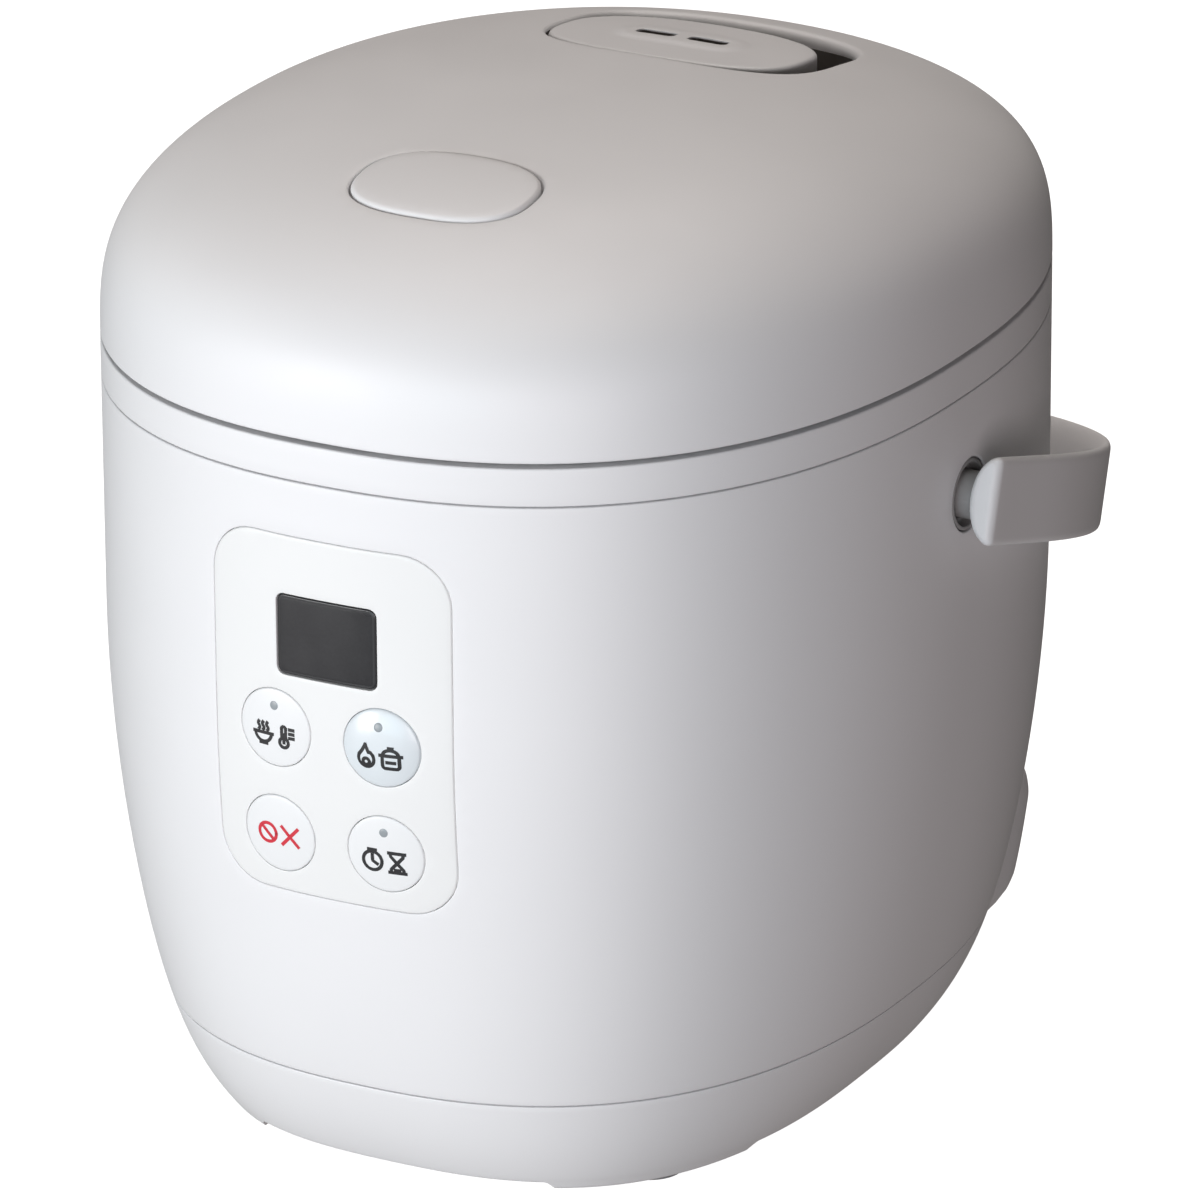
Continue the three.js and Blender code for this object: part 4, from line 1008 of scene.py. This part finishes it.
def liner():
    """The plate that closes the lid from below, with its latch slot."""
    low, high, edge, seat_radius = 163.0, 165.5, 0.8, 64.4
    turns = np.linspace(0, 2 * math.pi, AROUND + 1)[:-1]
    skin = Skin()
    rows = [(high, 0.0)] + [(low + out, down) for out, down in quarter(edge, 5)]
    skin.strip([body_points(turns, z, WALL + 0.3 + drawn) for z, drawn in rows])
    outline = body_points(turns, low, WALL + 0.3 + edge)[:, :2]
    latch = rectangle(12.4, 7.2, 1.0, (0, -96), sides=4, arcs=5)
    skin.floor(outline, [latch, circle(seat_radius, (0, POT_Y), 160)], 3.0, low)
    skin.strip([level(latch, z) for z in (low, high)])
    skin.strip(turned([(seat_radius, low), (seat_radius, low + 1.5), (0.01, low + 1.5)]))
    piece(skin, "liner_plate", "lid", "inner_white", ["lid_liner"])
    barrels((-17.7, -8.3), (8.3, 17.7), name="lid_knuckles", body="lid",
            stands_for="lid_liner", arm=((HINGE_Y - 3, HINGE_Y + 3), (HINGE_Z, low + 0.5)))


def inner_lid():
    """The steel disc over the pot: a stepped pressing with a steam hole."""
    skin = Skin()
    outline = circle(63.6, (0, POT_Y), 160)

    def sheet(x, y):
        away = np.hypot(x, y - POT_Y)
        step = 0.45 / (1 + np.exp((away - 44) * 1.6)) + 0.35 / (1 + np.exp((60 - away) * 2))
        return np.column_stack([x, y, 161.35 - step + 0.4 * np.exp(-((away - 51) / 2) ** 2)])

    hole = circle(3.5, (0, VENT["y"]), 32)
    skin.patch(outline, [hole], 2.0, sheet)
    for loop, rise in ((hole, 0.9), (outline, 1.2)):
        skin.strip([sheet(*loop.T), sheet(*loop.T) + (0, 0, rise)])
    piece(skin, "inner_lid_disc", "lid", "steel", ["inner_lid"])


def gasket():
    skin = Skin()
    profile = softened([
        (64.2, 162.6), (64.2, 161.0), (65.4, 160.3), (66.6, 161.3), (68.6, 161.3), (70.2, 160.0),
        (71.4, 160.4), (71.8, 161.4), (71.8, 162.6), (64.2, 162.6)], 0.6)
    skin.strip(turned(profile))
    piece(skin, "gasket_ring", "lid", "seal_silicone", ["lid_gasket"])


# ------------------------------------------------------------------ pot

def inner_pot():
    skin = Skin()
    wall = 1.6
    bend = 15
    outside = [(0.01, POT_BOTTOM), (20, POT_BOTTOM)]
    inside_wall = []
    for turn in np.linspace(0, math.pi / 2, 12):
        middle = (POT_RADIUS - bend, POT_BOTTOM + bend)
        outside.append((
            middle[0] + bend * math.sin(turn), middle[1] - bend * math.cos(turn)))
        inside_wall.insert(0, (
            middle[0] + (bend - wall) * math.sin(turn),
            middle[1] - (bend - wall) * math.cos(turn)))
    flange = softened([
        (POT_RADIUS, 150), (POT_RADIUS, POT_RIM - 1.2), (POT_FLANGE, POT_RIM - 1.2),
        (POT_FLANGE, POT_RIM), (POT_RADIUS - wall, POT_RIM), (POT_RADIUS - wall, 150)], 0.7)
    marks = []
    for z in (130, 118, 106, 94):
        marks += [(POT_RADIUS - wall, z + 0.7), (POT_RADIUS - wall - 0.3, z + 0.3),
                  (POT_RADIUS - wall - 0.3, z - 0.3), (POT_RADIUS - wall, z - 0.7)]
    skin.strip(turned([
        *outside, *flange, *marks, *inside_wall, (20, POT_BOTTOM + wall),
        (0.01, POT_BOTTOM + wall)]))
    piece(skin, "pot_body", "pot", "pot_coating", ["inner_pot"])


# ------------------------------------------------------------------ bail and inlet

def tilt(points):
    """From the bail's own plane (x, along, up) to the body's frame."""
    x, along, up = np.asarray(points).T
    return np.column_stack([
        x, along * math.cos(BAIL_TILT) + up * math.sin(BAIL_TILT),
        PIVOT_Z - along * math.sin(BAIL_TILT) + up * math.cos(BAIL_TILT)])


def bail_section(shrink=0.0):
    """The bar's section, (share outwards, up): flat outside, half an ellipse inside."""
    half = BAIL_HEIGHT / 2
    thickness = BAIL_OUTER["half_width"] - BAIL_INNER["half_width"]
    sweep = math.radians(74)
    turn = np.linspace(-sweep, sweep, 27)
    hollow = np.column_stack([thickness * (1 - np.cos(turn)), half * np.sin(turn)])
    near, bend = hollow[-1], np.array([thickness, half])
    far = bend - (0, BAIL_EDGE)
    share = np.linspace(0, 1, 9)[1:, None]
    corner = (1 - share) ** 2 * near + 2 * share * (1 - share) * bend + share ** 2 * far
    face = np.column_stack([np.full(10, thickness), np.linspace(far[1], -far[1], 12)[1:-1]])
    loop = np.concatenate([hollow, corner, face, corner[::-1] * (1, -1)])
    middle = np.array([thickness * 0.55, 0])
    kept = 1 - shrink / (np.array([thickness * 0.5, half]))
    return (middle + (loop - middle) * kept) / (thickness, 1)


def bail_plan(half_width, depth, power):
    """One side of the bail's plan, from the right arm's end to the left one's."""
    turn = np.linspace(0, math.pi, 161)
    bow = np.column_stack([
        half_width * power_of(np.cos(turn), 2 / power),
        BAIL_STRAIGHT + (depth - BAIL_STRAIGHT) * np.abs(np.sin(turn)) ** (2 / power)])
    arm = np.linspace(BAIL_EDGE - BAIL_END, BAIL_STRAIGHT, 10)[:-1]
    right = np.column_stack([np.full(9, half_width), arm])
    left = np.column_stack([np.full(9, -half_width), arm[::-1]])
    return np.concatenate([right, bow, left])


def bail():
    section = bail_section()
    rings = [
        np.column_stack([near + section[:, :1] * (far - near), section[:, 1]])
        for near, far in zip(bail_plan(**BAIL_INNER), bail_plan(**BAIL_OUTER))]
    reach = BAIL_OUTER["half_width"] - BAIL_INNER["half_width"]
    for sign in (1, -1):
        rounding = []
        for turn in np.linspace(0, math.pi / 2, 9)[1:]:
            shrunk = bail_section(BAIL_EDGE * (1 - math.cos(turn)))
            along = BAIL_EDGE * (1 - math.sin(turn)) - BAIL_END
            across = sign * (BAIL_INNER["half_width"] + reach * shrunk[:, 0])
            rounding.append(np.column_stack([across, np.full(len(shrunk), along), shrunk[:, 1]]))
        rings = rounding[::-1] + rings if sign > 0 else rings + rounding
    rings = [tilt(ring) for ring in rings]
    skin = Skin()
    skin.strip(rings)
    skin.cap(rings[0])
    skin.cap(rings[-1])
    piece(skin, "bail_bar", "handle", "shell_white", ["carry_handle"])
    stubs = Skin()
    for sign in (-1, 1):
        profile = softened([
            (0.01, 81), (STUB_RADIUS, 81), (STUB_RADIUS, 89.6), (STUB_RADIUS + 0.8, 92.5)], 0.5)
        stubs.strip(turned_x([(radius, sign * x) for radius, x in profile], 0, PIVOT_Z))
    # painted shade: the stubs take the grey that stands in for the shade in the pivot recess
    piece(stubs, "bail_stubs", "handle", "dark_plastic", ["carry_handle"], paint="pivot")


def bushings():
    for side, sign in (("left", -1), ("right", 1)):
        skin = Skin()
        profile = softened([
            (BUSHING_RADIUS, 83.2), (BUSHING_RADIUS, 86.8), (6.5, 86.8), (6.2, 84.6),
            (STUB_RADIUS + 0.3, 84.6), (STUB_RADIUS + 0.3, 82.6)], 0.3)
        skin.strip(turned_x([(radius, sign * x) for radius, x in profile], 0, PIVOT_Z))
        name = f"handle_bushing_{side}"
        # painted shade: the collars take the grey that stands in for the shade in the pivot recess
        piece(skin, f"collar_{side}", "body", "inner_white", [name], paint="pivot")


def inlet_housing():
    """A soft block over the rear right corner, with the socket's mouth in its rear."""
    centre = (INLET["x"], 24.5)
    size = dict(width=40.0, height=35.0, corner=8.0, centre=centre)

    def rear(x, z, out):
        width, depth, power = plan_at(z, -out)
        return depth * (1 - np.abs(x / width) ** power) ** (1 / power)

    def bulge(z):
        """How far the block stands out: less towards its sloping top."""
        return 13.6 - 9.0 * np.clip((z - 29) / 13, 0, 1) ** 1.6

    def face(x, z, share=1.0):
        return np.column_stack([x, rear(x, z, bulge(z) * share), z])

    def mouth(out=0.0):
        return rectangle(22.0, 14.0, 2.0, (INLET["x"], INLET["z"]), out, sides=8, arcs=6)

    skin = Skin()
    profile = [
        (0.0, -0.06), (0.4, 0.35), (0.8, 0.62), (1.4, 0.8), (2.2, 0.91), (3.2, 0.97), (4.4, 1.0)]
    skin.strip([face(*rectangle(**size, grow=-inward).T, share) for inward, share in profile])
    edge, mouth_back = 0.6, 84.2
    skin.patch(rectangle(**size, grow=-profile[-1][0]), [mouth(edge)], 1.5, face)
    rows = [face(*mouth(out).T) - (0, down, 0) for out, down in rounded_edge(edge, 3.0)]
    x, z = mouth().T
    rows.append(np.column_stack([x, np.full(len(x), mouth_back), z]))
    skin.strip(rows)
    piece(skin, "inlet_block", "body", "shell_white", ["inlet_housing"])


# ------------------------------------------------------------------ stage

CAMERA_PLACE = (0.92842, MIDDLE_Y - 1.72386, 0.85435)
CAMERA_AZIMUTH, CAMERA_ELEVATION, CAMERA_ROLL = (
    math.radians(angle) for angle in (28.2037, 21.2129, 0.3173))
CAMERA_LENS = 311.3


def camera():
    data = bpy.data.cameras.new("camera")
    data.lens = CAMERA_LENS
    data.sensor_width = 36
    data.clip_start, data.clip_end = 0.05, 20
    made = placed("camera", data)
    right = Vector((math.cos(CAMERA_AZIMUTH), math.sin(CAMERA_AZIMUTH), 0))
    back = Vector((
        math.sin(CAMERA_AZIMUTH) * math.cos(CAMERA_ELEVATION),
        -math.cos(CAMERA_AZIMUTH) * math.cos(CAMERA_ELEVATION), math.sin(CAMERA_ELEVATION)))
    up = back.cross(right)
    cosine, sine = math.cos(CAMERA_ROLL), math.sin(CAMERA_ROLL)
    across, above = cosine * right - sine * up, sine * right + cosine * up
    rotation = Matrix((across, above, back)).transposed().to_4x4()
    made.matrix_world = Matrix.Translation(CAMERA_PLACE) @ rotation
    bpy.context.scene.camera = made


def softbox(name, place, power, colour, size=0.9):
    """A square lamp that shines at the middle of the object."""
    data = bpy.data.lights.new(name, "AREA")
    data.size = size
    data.energy = power
    data.color = colour
    made = placed(name, data)
    made.location = place
    towards = Vector((0, 0, 0.1)) - Vector(place)
    made.rotation_euler = towards.to_track_quat("-Z", "Y").to_euler()


LIGHTS = {
    "front_left": dict(place=(-1.0, -1.73, 0.24), power=24.6, colour=(1, 0.98, 0.98)),
    "front": dict(place=(0, -2.0, 0.24), power=10.8, colour=(0.68, 0.91, 1)),
    "front_right": dict(place=(1.0, -1.73, 0.24), power=15.0, colour=(1, 0.9, 0.92)),
    "rear_left": dict(place=(-0.53, 0.92, 1.8), power=13.8, colour=(1, 0.91, 0.87)),
    "top": dict(place=(0, 0.001, 2.1), power=8.4, colour=(1, 0.95, 0.88)),
    "bounce": dict(place=(0, 0.0001, -0.002), power=5.0, colour=(1, 0.93, 0.89), size=3.0),
}


def stage():
    for name, facts in LIGHTS.items():
        softbox(name, **facts)
    world = bpy.data.worlds.new("studio")
    world.use_nodes = True
    background = world.node_tree.nodes["Background"]
    background.inputs["Color"].default_value = (0.98, 0.99, 1, 1)
    background.inputs["Strength"].default_value = 0.01
    bpy.context.scene.world = world
    mesh = bpy.data.meshes.new("floor")
    reach = 8.0
    mesh.from_pydata(
        [(-reach, -reach, 0), (reach, -reach, 0), (reach, reach, 0), (-reach, reach, 0)], [],
        [(0, 1, 2, 3)])
    looks = Looks("floor_paper", (0.4, 0.4, 0.4), 0.9)
    looks.shader.inputs["Emission Color"].default_value = (1, 1, 1, 1)
    looks.shader.inputs["Emission Strength"].default_value = 1.0
    looks.bump(looks.noise(500), 0.02, 0.0001)
    mesh.materials.append(looks.material)
    floor = placed("floor", mesh)
    floor.visible_diffuse = floor.visible_glossy = floor.visible_shadow = False
    bpy.context.scene.view_settings.view_transform = "Standard"


# ------------------------------------------------------------------ the whole

camera()
stage()
paint_cad_nodes()
body_shell()
upper_frame()
hinge_pocket()
base_tray()
foot_pads()
control_panel()
display()
control_buttons()
lid_shell()
well_shade_lining()
lid_button()
steam_cap()
liner()
inner_lid()
gasket()
inner_pot()
bail()
bushings()
inlet_housing()

bpy.context.view_layer.update()
